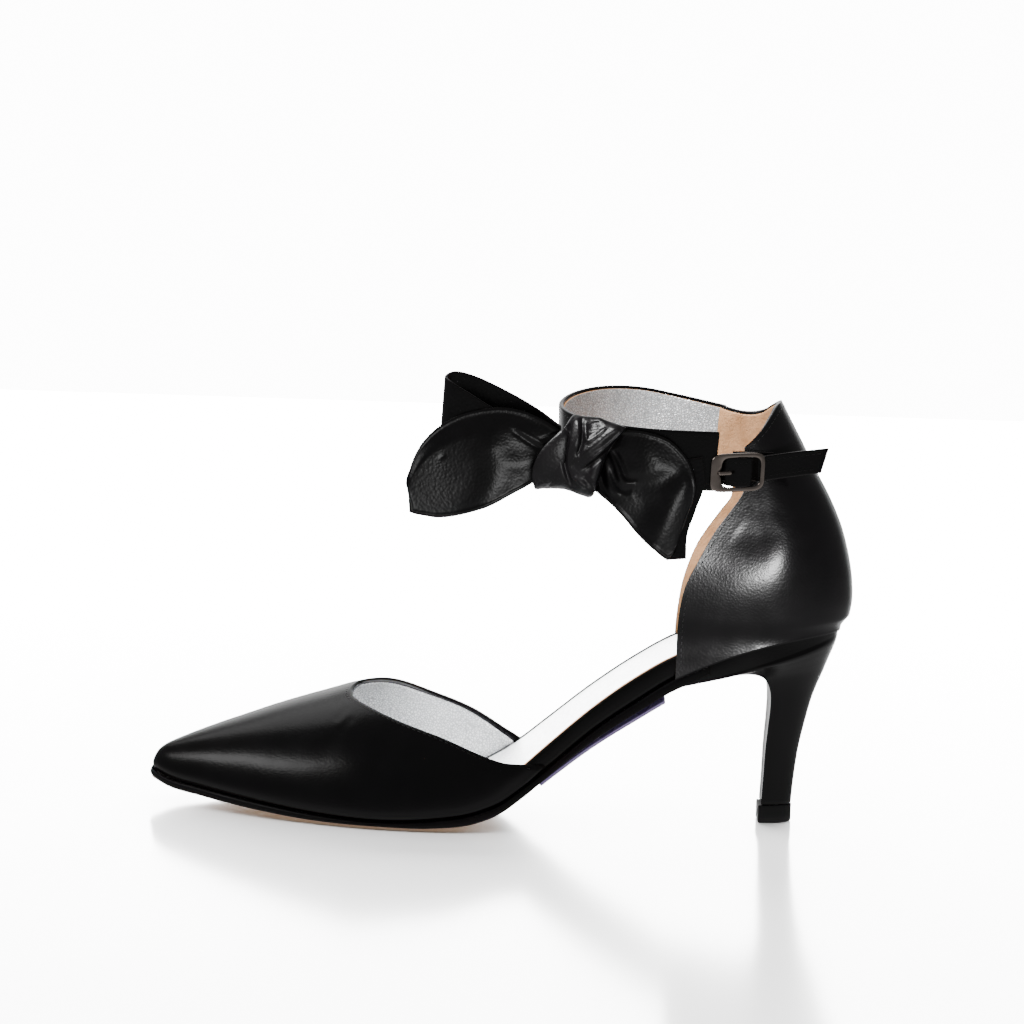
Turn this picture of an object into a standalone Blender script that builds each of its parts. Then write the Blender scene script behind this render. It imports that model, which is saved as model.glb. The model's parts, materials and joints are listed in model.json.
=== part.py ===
"""Left women's shoe: pointed open-waist pump with a slim heel, an ankle strap and a tied bow.

Frame: toe toward -X, heel toward +X, outer (lateral) side toward -Y, up is +Z, ground at Z = 0.
Tables are in millimetres; every row is one section, fold or station.
"""
import bmesh
import bpy
import numpy as np
from mathutils import Matrix, Vector

MM = 0.001
WELD = 0.00002
SEAT_BLEND = 5.0
GAP = 0.3
VAMP_WALL = 1.6
QUARTER_WALL = 2.0
STRAP_WALL = 1.8
TONGUE_WALL = 1.5
TAB_WALL = 0.9
BOW_WALL = 1.1
SOLE_LEDGE = 0.9
INSOLE_INSET = 2.5
WAIST_INSET = 1.2
TREAD_CROWN = 1.0
TREAD_FLAT = 0.55

TOE_X = -124.2
HEEL_X = 122.5
SOLE_END_X = 68.6
WING_START_X = 2.0
WING_RUN = 16.0
WING_LIFT = 1.6
VAMP_BULGE = 1.0
BULGE_FULL_WIDTH = 30.0
TOE_CROWDING = 1.7
BACK_CROWDING = 1.6

HEEL_TURN = np.radians(4.0)
HEEL_TURN_ROWS = 5
BREAST_CORNER = 0.95
HEEL_AXIS_X = 101.0
HEEL_AXIS_Y = 0.5
LIFT_TOP_Z = 6.4
LIFT_FRONT_X = 95.3
LIFT_BACK_X = 107.6
LIFT_HALF_WIDTH = 6.0

STRIP_START_X = 17.0
STRIP_END_X = 60.0
STRIP_LATERAL_Y = -21.0
STRIP_MEDIAL_Y = 18.0
STRIP_THICK = 1.2

BUCKLE_X = 81.2
BUCKLE_Y = -29.8
BUCKLE_Z = 129.8
BUCKLE_WIDE = 17.4
BUCKLE_TALL = 12.8
BUCKLE_THICK = 1.6
BUCKLE_PLATE = 4.0
BUCKLE_RAIL = 1.6
BUCKLE_ROUND = 0.45
BAR_X = 83.0
BAR_Y = -28.6
BAR_RADIUS = 0.7
BAR_SIDES = 16
PRONG_SIDES = 10
PRONG_ROWS = 9
CUTTER_REACH = 2.0

SOLE_ROWS = 37
OUTSOLE_ACROSS = 9
INSOLE_ACROSS = 7
STRIP_ROWS = 14
STRIP_ACROSS = 7
VAMP_ROWS = 23
VAMP_AROUND = 31
QUARTER_AROUND = 29
QUARTER_UP = 19
HEEL_POINTS = 13
KNOT_ROWS = 21
KNOT_SIDES = 18

# Points on the inner side of each wall
IN_TOE_BOX = (-60.0, 5.0, 8.0)
IN_HEEL_SPACE = (90.0, 0.5, 100.0)
IN_ANKLE_RING = (50.0, 0.0, 138.0)
IN_BOW_LOOP = (-2.0, -17.6, 140.0)
BEHIND_BUCKLE = (88.0, 60.0, 130.0)
BEHIND_LEFT_LEAF = (-10.0, 60.0, 130.0)
BEHIND_RIGHT_LEAF = (55.0, 60.0, 120.0)


def table(columns, rows):
    """Named columns of a short table."""
    values = np.array(rows, dtype=float)
    return {name: values[:, i] for i, name in enumerate(columns.split())}


# Outer edge of the upper where it meets the sole, with the toe swung to the inner side
PLAN = table("x lateral medial", [
    (-124.2, 8.0, 8.0),
    (-121.8, 3.4, 12.6),
    (-118.0, -0.3, 15.6),
    (-110.0, -6.2, 19.9),
    (-97.0, -14.6, 25.3),
    (-80.0, -24.0, 31.0),
    (-62.0, -31.6, 35.2),
    (-45.0, -36.7, 37.2),
    (-28.0, -39.0, 36.5),
    (-12.0, -38.8, 33.0),
    (5.0, -35.6, 28.2),
    (20.0, -30.6, 25.0),
    (38.0, -26.0, 23.6),
    (55.0, -23.8, 23.9),
    (72.0, -24.0, 25.0),
    (90.5, -25.0, 26.0),
    (105.0, -22.2, 23.2),
    (115.0, -15.9, 16.9),
    (122.5, 0.5, 0.5),
])

# Side profile: tread is the underside, seat the top of the sole and heel, foot the insole surface
PROFILE = table("x tread seat foot", [
    (-124.2, 6.6, 8.4, 11.4),
    (-118.0, 5.0, 7.5, 10.4),
    (-105.0, 3.4, 6.7, 9.4),
    (-82.0, 1.3, 4.8, 7.5),
    (-66.0, 0.3, 3.4, 6.0),
    (-54.0, 0.0, 2.7, 5.3),
    (-36.0, 0.0, 2.5, 5.6),
    (-22.0, 0.2, 3.6, 7.4),
    (-4.0, 2.8, 6.9, 13.0),
    (3.0, 5.8, 9.8, 17.4),
    (9.0, 10.2, 14.0, 21.8),
    (19.0, 18.6, 21.6, 30.4),
    (34.0, 30.7, 34.3, 43.0),
    (50.0, 41.6, 45.6, 54.5),
    (62.7, 49.6, 54.0, 62.0),
    (75.0, 55.4, 59.9, 66.8),
    (86.0, 59.7, 64.2, 70.0),
    (97.0, 63.0, 67.5, 72.5),
    (111.0, 65.6, 70.1, 74.6),
    (122.5, 66.6, 71.1, 75.4),
])

# Crown of the vamp; past the throat it is the line the side walls lean toward
RIDGE = table("x y z", [
    (-124.2, 8.0, 10.0),
    (-123.4, 8.0, 14.2),
    (-122.0, 8.1, 17.0),
    (-119.6, 8.3, 19.2),
    (-114.0, 8.6, 22.0),
    (-107.0, 8.8, 25.0),
    (-98.0, 9.0, 28.5),
    (-89.0, 9.2, 31.8),
    (-80.0, 9.4, 35.1),
    (-71.0, 9.5, 38.1),
    (-62.0, 9.5, 40.9),
    (-52.0, 9.5, 44.0),
    (-33.0, 9.8, 47.8),
    (-14.0, 9.2, 52.5),
    (5.0, 8.0, 58.0),
    (22.0, 6.0, 64.0),
])

# Throat and topline of the vamp: where the leather stops, by the angle round the section
THROAT = table("angle x", [
    (0.0, 18.5),
    (9.0, 12.0),
    (25.0, -5.0),
    (34.0, -15.6),
    (48.0, -33.6),
    (59.0, -44.7),
    (68.0, -50.4),
    (78.0, -51.9),
    (90.0, -49.4),
    (108.0, -39.0),
    (130.0, -24.5),
    (149.0, -6.0),
    (171.0, 9.6),
    (180.0, 13.4),
])

# Quarter by height: back outline, half width, length of the round back, flare of the sides
COUNTER = table("z back half_width depth flare lateral_edge medial_edge", [
    (54.0, 121.5, 25.5, 32.0, -0.055, 63.0, 64.2),
    (62.0, 121.9, 25.5, 32.0, -0.055, 63.0, 64.4),
    (71.1, 122.5, 25.5, 32.0, -0.050, 63.0, 64.9),
    (74.7, 125.0, 26.2, 32.5, -0.030, 63.1, 65.4),
    (79.0, 126.1, 26.7, 33.0, -0.020, 63.4, 66.0),
    (88.0, 126.1, 27.2, 33.0, 0.000, 65.3, 68.3),
    (96.3, 124.7, 27.0, 32.0, 0.020, 69.1, 71.6),
    (108.4, 120.8, 25.8, 29.0, 0.040, 75.6, 79.2),
    (114.5, 117.9, 25.0, 27.5, 0.050, 80.0, 83.2),
    (121.4, 114.5, 24.0, 25.5, 0.060, 84.4, 82.4),
    (128.9, 110.6, 22.6, 23.0, 0.080, 84.6, 77.4),
    (138.2, 105.9, 20.8, 20.5, 0.120, 84.5, 77.2),
    (144.9, 102.2, 19.4, 19.0, 0.160, 84.4, 77.6),
    (152.0, 98.3, 18.0, 17.5, 0.200, 84.4, 78.2),
])

# Collar of the quarter, by the share of the way from the back to each front edge
COLLAR = table("share lateral medial", [
    (0.0, 152.0, 152.0),
    (0.1, 151.6, 150.6),
    (0.35, 148.6, 147.2),
    (0.63, 143.9, 146.2),
    (0.85, 139.9, 147.2),
    (1.0, 137.2, 148.4),
])

# Heel below the seat: breast line, back line, half width and where the round back starts
HEEL = table("front_x front_z back_x back_z half_width round_at", [
    (69.0, 53.0, 122.3, 70.0, 24.4, 0.40),
    (79.0, 54.2, 121.6, 67.6, 23.6, 0.33),
    (86.6, 55.2, 120.4, 64.3, 21.2, 0.25),
    (91.7, 54.5, 118.8, 60.0, 17.8, 0.20),
    (95.0, 52.2, 117.2, 55.5, 14.6, 0.15),
    (97.0, 48.2, 114.9, 49.0, 11.8, 0.15),
    (97.5, 43.5, 113.2, 44.0, 10.1, 0.15),
    (97.2, 36.0, 111.2, 36.0, 8.4, 0.15),
    (96.9, 27.0, 109.4, 27.0, 7.1, 0.15),
    (96.6, 17.0, 108.2, 17.0, 6.2, 0.15),
    (96.2, 6.7, 107.4, 6.7, 5.6, 0.15),
])

EDGES = "top_x top_y top_z low_x low_y low_z belly"

# Ankle strap from the inner side of the quarter round the front to the outer side
STRAP = table(EDGES, [
    (77.0, 23.5, 148.3, 76.6, 23.8, 129.2, 0.0),
    (63.0, 27.4, 150.8, 63.0, 27.6, 131.2, 0.0),
    (48.6, 28.6, 153.0, 48.6, 28.8, 133.2, 0.0),
    (35.0, 24.6, 153.2, 35.0, 24.8, 133.2, 0.0),
    (24.4, 15.0, 151.6, 24.6, 15.0, 131.6, 0.0),
    (19.2, 2.6, 149.0, 19.6, 2.6, 129.4, 0.0),
    (21.0, -11.0, 147.0, 21.4, -11.0, 127.2, 0.0),
    (29.6, -22.0, 145.0, 29.8, -22.0, 124.8, 0.0),
    (42.0, -27.4, 143.8, 42.0, -27.4, 123.2, 0.0),
    (56.0, -28.5, 143.0, 55.6, -28.5, 122.4, 0.0),
    (73.6, -28.7, 142.8, 71.0, -28.7, 122.2, 0.0),
])

# Narrow tongue: out from behind the strap, under the plate, over the bar, under the far rail
TONGUE = table(EDGES, [
    (62.0, -25.7, 133.6, 62.0, -25.7, 125.0, 0.0),
    (68.0, -26.0, 133.8, 68.0, -26.0, 125.2, 0.0),
    (73.0, -26.3, 133.9, 73.0, -26.3, 125.3, 0.0),
    (76.4, -28.4, 134.0, 76.4, -28.4, 125.6, 0.0),
    (80.2, -30.2, 134.1, 80.2, -30.2, 125.8, 0.0),
    (83.0, -31.1, 134.2, 83.0, -31.1, 126.0, 0.0),
    (85.4, -30.4, 134.3, 85.4, -30.4, 126.2, 0.0),
    (88.2, -28.7, 134.5, 88.2, -28.7, 126.6, 0.0),
    (91.0, -28.5, 134.9, 91.0, -28.5, 127.0, 0.0),
    (101.0, -28.4, 136.6, 100.4, -28.4, 128.6, 0.0),
    (113.2, -28.8, 138.4, 110.8, -28.8, 130.4, 0.0),
])

# Leather tab that lies on the quarter and reaches under the centre bar
TAB = table(EDGES, [
    (94.6, -22.5, 133.4, 94.6, -22.5, 127.0, 0.0),
    (90.0, -24.3, 133.2, 90.0, -24.3, 126.9, 0.0),
    (86.6, -26.0, 133.0, 86.6, -26.0, 126.8, 0.0),
    (83.4, -27.6, 132.8, 83.4, -27.6, 126.7, 0.0),
    (81.4, -27.6, 132.8, 81.4, -27.6, 126.7, 0.0),
])

# Open ribbon loop: back layer from the knot, the fold on the left, front layer to the knot
LOOP = table(EDGES, [
    (18.0, -16.6, 143.4, 18.0, -16.2, 129.0, 0.0),
    (12.6, -15.0, 147.2, 12.8, -14.6, 128.0, 0.0),
    (3.0, -13.6, 152.4, 2.6, -13.4, 127.4, 0.0),
    (-9.0, -12.8, 157.8, -10.0, -12.8, 128.4, 0.0),
    (-17.4, -13.8, 160.0, -18.6, -13.8, 130.0, 0.0),
    (-21.4, -17.4, 158.6, -22.8, -17.6, 131.0, 0.0),
    (-19.2, -20.8, 156.8, -20.6, -21.2, 130.4, 0.0),
    (-12.0, -21.8, 152.8, -13.0, -22.2, 128.6, 0.0),
    (-4.0, -22.0, 148.2, -4.4, -22.4, 127.4, 0.0),
    (6.0, -21.8, 143.6, 6.0, -22.0, 126.8, 0.0),
    (13.6, -21.9, 140.4, 12.8, -22.1, 127.8, 0.0),
])

# Left leaf from the knot to its round end
TAIL_LEFT = table(EDGES, [
    (13.8, -24.2, 144.4, 7.4, -25.0, 121.4, 0.0),
    (6.0, -24.6, 147.6, 3.4, -25.6, 118.4, 1.6),
    (-1.3, -24.6, 148.5, -4.0, -25.8, 114.2, 2.2),
    (-8.6, -24.6, 147.6, -11.0, -26.0, 111.6, 2.4),
    (-16.1, -24.8, 145.3, -17.0, -26.2, 110.0, 2.4),
    (-23.3, -25.2, 140.9, -22.4, -26.4, 109.4, 2.0),
    (-29.0, -25.8, 134.7, -26.6, -26.6, 110.6, 1.4),
    (-32.3, -26.4, 127.3, -30.0, -26.8, 112.0, 0.8),
    (-33.1, -26.8, 120.6, -32.4, -27.0, 115.0, 0.2),
])

# Right leaf from the knot down to its point
TAIL_RIGHT = table(EDGES, [
    (43.4, -29.4, 142.4, 34.0, -27.6, 119.6, 0.0),
    (50.0, -31.0, 142.2, 38.4, -30.0, 116.2, 1.0),
    (57.4, -32.0, 139.7, 42.6, -31.4, 112.0, 1.8),
    (63.5, -32.4, 134.0, 46.8, -32.2, 107.2, 2.2),
    (66.6, -32.6, 127.5, 50.6, -32.5, 103.6, 2.2),
    (67.1, -32.6, 121.5, 53.8, -32.6, 101.0, 1.8),
    (64.8, -32.6, 113.5, 56.0, -32.6, 99.2, 1.2),
    (61.8, -32.6, 104.5, 57.6, -32.6, 98.1, 0.5),
    (60.0, -32.6, 99.9, 58.4, -32.6, 97.7, 0.0),
])

# Second leaf, behind the right one and clear of the strap
TAIL_BACK = table(EDGES, [
    (69.4, -30.2, 134.0, 58.0, -30.2, 132.0, 0.0),
    (70.4, -30.3, 124.8, 58.0, -30.3, 122.0, 0.0),
    (67.6, -30.4, 115.4, 58.0, -30.4, 113.0, 0.0),
    (65.0, -30.6, 106.8, 59.4, -30.6, 104.6, 0.0),
    (64.8, -30.8, 98.2, 61.4, -30.8, 97.8, 0.0),
])

# Prong by sections, from the tongue to its tip on the plate
PRONG = table("x y z half_deep half_tall", [
    (79.4, -31.5, 129.8, 0.35, 0.35),
    (79.0, -31.5, 129.8, 0.55, 0.55),
    (76.6, -31.6, 129.8, 0.55, 0.55),
    (74.8, -31.5, 129.8, 0.55, 0.55),
    (74.3, -31.5, 129.8, 0.35, 0.35),
])

# Knot by sections along its length
KNOT = table("x y z half_deep half_tall", [
    (10.6, -25.4, 129.0, 1.2, 3.4),
    (12.4, -25.6, 129.2, 2.8, 6.6),
    (16.0, -26.2, 130.4, 4.2, 9.8),
    (21.0, -27.0, 132.6, 5.0, 12.6),
    (27.0, -28.2, 134.0, 5.2, 13.6),
    (33.0, -29.6, 134.4, 4.6, 12.8),
    (38.0, -30.6, 137.4, 3.6, 8.8),
    (41.0, -31.0, 140.2, 2.2, 5.0),
    (42.6, -31.0, 141.6, 0.9, 2.2),
])

FINISHES = {
    "black nappa leather": ((0.012, 0.011, 0.012), 0.0, 0.34),
    "black sole leather": ((0.016, 0.014, 0.014), 0.0, 0.5),
    "wrapped insole": ((0.60, 0.60, 0.60), 0.0, 0.4),
    "black heel cover": ((0.012, 0.011, 0.012), 0.0, 0.38),
    "black rubber": ((0.014, 0.014, 0.014), 0.0, 0.6),
    "dark purple film": ((0.035, 0.022, 0.055), 0.0, 0.4),
    "gunmetal": ((0.32, 0.30, 0.29), 1.0, 0.28),
}


def smooth(at, knots, values):
    """Cubic through the rows of a table, with slopes taken from the neighbouring rows."""
    slope = np.gradient(values, knots)
    at = np.clip(at, knots[0], knots[-1])
    low = np.clip(np.searchsorted(knots, at) - 1, 0, len(knots) - 2)
    span = knots[low + 1] - knots[low]
    t = (at - knots[low]) / span
    rise = values[low] + (values[low + 1] - values[low]) * (3 - 2 * t) * t * t
    lead = slope[low] * (1 - t) * (1 - t) * t
    tail = slope[low + 1] * t * t * (1 - t)
    return rise + span * (lead - tail)


def station(x):
    """Angle that spaces the stations closely at both round ends of the shoe."""
    share = np.clip((np.asarray(x, dtype=float) - TOE_X) / (HEEL_X - TOE_X), 0.0, 1.0)
    return np.arccos(1.0 - 2.0 * share)


def stations(start, end, count):
    """Positions along the shoe, close together near its ends."""
    turn = np.linspace(station(start), station(end), count)
    return TOE_X + (HEEL_X - TOE_X) * (1.0 - np.cos(turn)) / 2.0


def edge(x, side):
    """Outer edge of the upper at the sole."""
    return smooth(station(x), station(PLAN["x"]), PLAN[side])


def level(x, line):
    """Height of one line of the side profile."""
    return smooth(np.asarray(x, dtype=float), PROFILE["x"], PROFILE[line])


def outline(x, grow):
    """Lateral and medial edges at the stations, moved outward by grow."""
    turn = station(x)
    sides = []
    for side, sign in (("lateral", 1.0), ("medial", -1.0)):
        y = edge(x, side)
        run = (HEEL_X - TOE_X) / 2.0 * np.sin(turn)
        rise = np.gradient(y, turn)
        length = np.hypot(run, rise)
        sides.append((x + sign * grow * rise / length, y - sign * grow * run / length))
    return sides


def finish(name):
    """Material with plain colour, metal and roughness."""
    colour, metal, rough = FINISHES[name]
    material = bpy.data.materials.get(name) or bpy.data.materials.new(name)
    material.use_nodes = True
    shader = material.node_tree.nodes["Principled BSDF"]
    shader.inputs["Base Color"].default_value = (*colour, 1.0)
    shader.inputs["Metallic"].default_value = metal
    shader.inputs["Roughness"].default_value = rough
    return material


def piece(name, points, faces, finish_name):
    """Object from points in millimetres, welded and turned outward."""
    mesh = bpy.data.meshes.new(name)
    mesh.from_pydata((np.asarray(points) * MM).tolist(), [], faces)
    work = bmesh.new()
    work.from_mesh(mesh)
    bmesh.ops.remove_doubles(work, verts=work.verts, dist=WELD)
    bmesh.ops.dissolve_degenerate(work, edges=work.edges, dist=WELD)
    bmesh.ops.recalc_face_normals(work, faces=work.faces)
    for face in work.faces:
        face.smooth = True
    work.to_mesh(mesh)
    work.free()
    mesh.materials.append(finish(finish_name))
    part = bpy.data.objects.new(name, mesh)
    bpy.context.collection.objects.link(part)
    return part


def loft(name, loops, finish_name):
    """Closed body through loops whose points pair up across (first with last)."""
    loops = np.asarray(loops, dtype=float)
    count, size = loops.shape[:2]
    faces = []
    for row in range(count - 1):
        for i in range(size):
            j = (i + 1) % size
            faces.append((row * size + i, row * size + j, (row + 1) * size + j, (row + 1) * size + i))
    for first in (0, (count - 1) * size):
        if np.ptp(loops[first // size, :, 1]) > GAP:
            for i in range(size // 2 - 1):
                faces.append((first + i, first + i + 1, first + size - 2 - i, first + size - 1 - i))
    return piece(name, loops.reshape(-1, 3), faces, finish_name)


def sheet(name, points, wall, finish_name, inside):
    """Wall of even thickness, thickened from its outer face toward the inside point."""
    rows, cols = points.shape[:2]
    faces = []
    for row in range(rows - 1):
        for col in range(cols - 1):
            first = row * cols + col
            faces.append((first, first + 1, first + cols + 1, first + cols))
    part = piece(name, points.reshape(-1, 3), faces, finish_name)
    hub = Vector(inside) * MM
    facing = sum((face.center - hub).dot(face.normal) * face.area for face in part.data.polygons)
    if facing < 0:
        part.data.flip_normals()
    thicken = part.modifiers.new("wall", "SOLIDIFY")
    thicken.thickness = wall * MM
    thicken.offset = -1.0
    thicken.use_even_offset = True
    thicken.use_quality_normals = True
    return part


def slab(name, x, grow, low, high, finish_name, across):
    """Sole layer between two heights, following the plan outline."""
    (lateral_x, lateral_y), (medial_x, medial_y) = outline(x, grow)
    share = np.linspace(0.0, 1.0, across)
    px = lateral_x[:, None] + (medial_x - lateral_x)[:, None] * share
    py = lateral_y[:, None] + (medial_y - lateral_y)[:, None] * share
    top = np.stack([px, py, high(px, share)], axis=-1)
    bottom = np.stack([px, py, low(px, share)], axis=-1)
    return loft(name, np.concatenate([top, bottom[:, ::-1]], axis=1), finish_name)


def build_sole():
    """Outsole with a flat tread at the ball, and the insole board above it."""
    def tread(x, share):
        reach = np.clip((np.abs(2 * share - 1) - TREAD_FLAT) / (1 - TREAD_FLAT), 0, 1)
        return np.maximum(level(x, "tread"), 0.0) + TREAD_CROWN * reach ** 2

    def seat(x, share):
        return level(x, "seat")

    def insole_low(x, share):
        return level(x, "seat") + GAP

    def foot(x, share):
        return level(x, "foot")

    x = stations(TOE_X, SOLE_END_X, SOLE_ROWS)
    waist = np.clip((x - WING_START_X) / WING_RUN, 0, 1)
    grow = SOLE_LEDGE - (SOLE_LEDGE + WAIST_INSET) * waist * waist * (3 - 2 * waist)
    slab("outsole", x, grow, tread, seat, "black sole leather", OUTSOLE_ACROSS)
    x = stations(TOE_X, HEEL_X, SOLE_ROWS)
    slab("insole", x, -INSOLE_INSET, insole_low, foot, "wrapped insole", INSOLE_ACROSS)
    x = np.linspace(STRIP_START_X, STRIP_END_X, STRIP_ROWS)
    y = np.linspace(STRIP_LATERAL_Y, STRIP_MEDIAL_Y, STRIP_ACROSS)
    px, py = np.meshgrid(x, y, indexing="ij")
    top = np.stack([px, py, level(px, "tread") - GAP], axis=-1)
    bottom = top - np.array([0.0, 0.0, STRIP_THICK])
    loft("waist_strip", np.concatenate([top, bottom[:, ::-1]], axis=1), "dark purple film")


def build_vamp():
    """Hollow front of the upper: arched sections from the toe tip to the throat line."""
    along = np.linspace(0.0, 1.0, VAMP_ROWS) ** TOE_CROWDING
    angle = np.linspace(0.0, 180.0, VAMP_AROUND)
    stop = smooth(angle, THROAT["angle"], THROAT["x"])
    x = TOE_X + along[:, None] * (stop - TOE_X)[None, :]
    turn = np.radians(angle)[None, :] + 0 * x
    lift = np.clip((x - WING_START_X) / WING_RUN, 0, 1)
    rim = level(x, "seat") + GAP + WING_LIFT * lift * lift
    crown = smooth(station(x), station(RIDGE["x"]), RIDGE["z"])
    middle = smooth(station(x), station(RIDGE["x"]), RIDGE["y"])
    side = np.where(turn < np.pi / 2, edge(x, "lateral"), edge(x, "medial"))
    swell = np.clip(np.abs(side - middle) / BULGE_FULL_WIDTH, 0, 1) * VAMP_BULGE * np.sin(2 * turn)
    y = middle + (side - middle) * np.abs(np.cos(turn)) - swell
    z = rim + np.maximum(crown - rim, 0.0) * np.sin(turn)
    sheet("vamp", np.stack([x, y, z], axis=-1), VAMP_WALL, "black nappa leather", IN_TOE_BOX)


def build_quarter():
    """Hollow heel counter: U sections by height between two front edges and the collar."""
    share = np.sin(np.linspace(-np.pi / 2, np.pi / 2, QUARTER_AROUND))
    forward = np.abs(share) ** BACK_CROWDING
    outer = share < 0
    collar = np.where(outer, smooth(forward, COLLAR["share"], COLLAR["lateral"]),
                      smooth(forward, COLLAR["share"], COLLAR["medial"]))
    foot_front = np.where(outer, COUNTER["lateral_edge"][0], COUNTER["medial_edge"][0])
    rim = level(HEEL_X - forward * (HEEL_X - foot_front), "seat") + GAP
    z = rim + np.linspace(0.0, 1.0, QUARTER_UP)[:, None] * (collar - rim)

    def at(name):
        return smooth(z, COUNTER["z"], COUNTER[name])

    clear = np.clip((z - rim) / SEAT_BLEND, 0, 1)
    back = at("back") * clear + HEEL_X * (1 - clear)
    front = np.where(outer, at("lateral_edge"), at("medial_edge"))
    x = back - forward * (back - front)
    reach = np.clip((back - x) / at("depth"), 0, 1)
    half = at("half_width") * np.sqrt(1 - (1 - reach) ** 2)
    half = half + at("flare") * np.maximum(back - x - at("depth"), 0)
    y = HEEL_AXIS_Y + np.where(outer, -half, half)
    sheet("quarter", np.stack([x, y, z], axis=-1), QUARTER_WALL, "black nappa leather", IN_HEEL_SPACE)


def heel_loop(front, back, half_width, round_at, turn):
    """One heel section: straight sides, round back, axis turned a little to the outer side."""
    along = np.sin(np.linspace(0.0, np.pi / 2, HEEL_POINTS))
    bend = np.clip((along - round_at) / (1 - round_at), 0, 1)
    half = half_width * np.sqrt(1 - bend ** 2)
    half[0] *= BREAST_CORNER
    x = front[0] + (back[0] - front[0]) * along
    z = front[1] + (back[1] - front[1]) * along
    y = HEEL_AXIS_Y + (x - HEEL_AXIS_X) * np.tan(turn)
    lateral = np.stack([x, y - half, z], axis=-1)
    medial = np.stack([x, y + half, z], axis=-1)
    return np.concatenate([lateral, medial[::-1]])


def build_heel():
    """Covered heel lofted from the curved seat to the tip, and the block under it."""
    along = np.sin(np.linspace(0.0, np.pi / 2, HEEL_POINTS))
    x = HEEL["front_x"][0] + (HEEL_X - HEEL["front_x"][0]) * along
    z = level(x, "seat")
    lateral = np.stack([x, edge(x, "lateral"), z], axis=-1)
    medial = np.stack([x, edge(x, "medial"), z], axis=-1)
    loops = [np.concatenate([lateral, medial[::-1]])]
    last = len(HEEL["front_x"]) - 1
    for i in range(last + 1):
        front = (HEEL["front_x"][i], HEEL["front_z"][i])
        back = (HEEL["back_x"][i], HEEL["back_z"][i])
        turn = HEEL_TURN * min(1.0, i / HEEL_TURN_ROWS)
        loops.append(heel_loop(front, back, HEEL["half_width"][i], HEEL["round_at"][i], turn))
    loft("heel", loops, "black heel cover")
    block = []
    for height in (LIFT_TOP_Z, 0.0):
        front = (LIFT_FRONT_X, height)
        back = (LIFT_BACK_X, height)
        block.append(heel_loop(front, back, LIFT_HALF_WIDTH, HEEL["round_at"][last], HEEL_TURN))
    loft("top_lift", block, "black rubber")


def ribbon(name, rows, wall, along, across, finish_name, inside):
    """Leather band between two edge lines, bellied toward the outer side."""
    index = np.arange(len(rows["belly"]), dtype=float)
    at = np.linspace(0.0, index[-1], along)
    top = np.stack([smooth(at, index, rows["top_" + axis]) for axis in "xyz"], axis=-1)
    low = np.stack([smooth(at, index, rows["low_" + axis]) for axis in "xyz"], axis=-1)
    share = np.linspace(0.0, 1.0, across)[None, :, None]
    points = top[:, None, :] + (low - top)[:, None, :] * share
    points[:, :, 1] -= smooth(at, index, rows["belly"])[:, None] * 4 * share[:, :, 0] * (1 - share[:, :, 0])
    return sheet(name, points, wall, finish_name, inside)


def rounds(rows, along, sides):
    """Oval loops through the rows of a table of centres and half sizes."""
    index = np.arange(len(rows["x"]), dtype=float)
    at = np.linspace(0.0, index[-1], along)
    turn = (np.arange(sides) + 0.5) * 2 * np.pi / sides
    column = {name: smooth(at, index, rows[name])[:, None] for name in rows}
    x = column["x"] + 0 * turn
    y = column["y"] + column["half_deep"] * np.sin(turn)
    z = column["z"] + column["half_tall"] * np.cos(turn)
    return np.stack([x, y, z], axis=-1)


def build_strap():
    """Ankle strap, its tongue and the tab of the buckle."""
    leather = "black nappa leather"
    ribbon("ankle_strap", STRAP, STRAP_WALL, 48, 4, leather, IN_ANKLE_RING)
    ribbon("strap_tongue", TONGUE, TONGUE_WALL, 40, 3, leather, BEHIND_BUCKLE)
    ribbon("buckle_tab", TAB, TAB_WALL, 14, 3, leather, BEHIND_BUCKLE)


def build_bow():
    """Loop, leaves and knot of the tied bow."""
    leather = "black nappa leather"
    ribbon("bow_loop", LOOP, BOW_WALL, 38, 5, leather, IN_BOW_LOOP)
    ribbon("bow_tail_left", TAIL_LEFT, BOW_WALL, 18, 8, leather, BEHIND_LEFT_LEAF)
    ribbon("bow_tail_right", TAIL_RIGHT, BOW_WALL, 18, 8, leather, BEHIND_RIGHT_LEAF)
    ribbon("bow_tail_back", TAIL_BACK, BOW_WALL, 12, 4, leather, BEHIND_RIGHT_LEAF)
    loft("bow_knot", rounds(KNOT, KNOT_ROWS, KNOT_SIDES), leather)


def block(name, low, high):
    """Box between two corners in millimetres."""
    low = np.array(low)
    high = np.array(high)
    bpy.ops.mesh.primitive_cube_add(size=1.0, location=((low + high) / 2 * MM).tolist())
    box = bpy.context.object
    box.name = name
    box.data.transform(Matrix.Diagonal(((high - low) * MM).tolist() + [1.0]))
    return box


def combine(base, other, operation):
    """Exact Boolean of two objects, with the second one kept hidden."""
    step = base.modifiers.new(operation.lower(), "BOOLEAN")
    step.operation = operation
    step.solver = "EXACT"
    step.object = other
    other.hide_render = True
    other.display_type = "WIRE"


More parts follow.
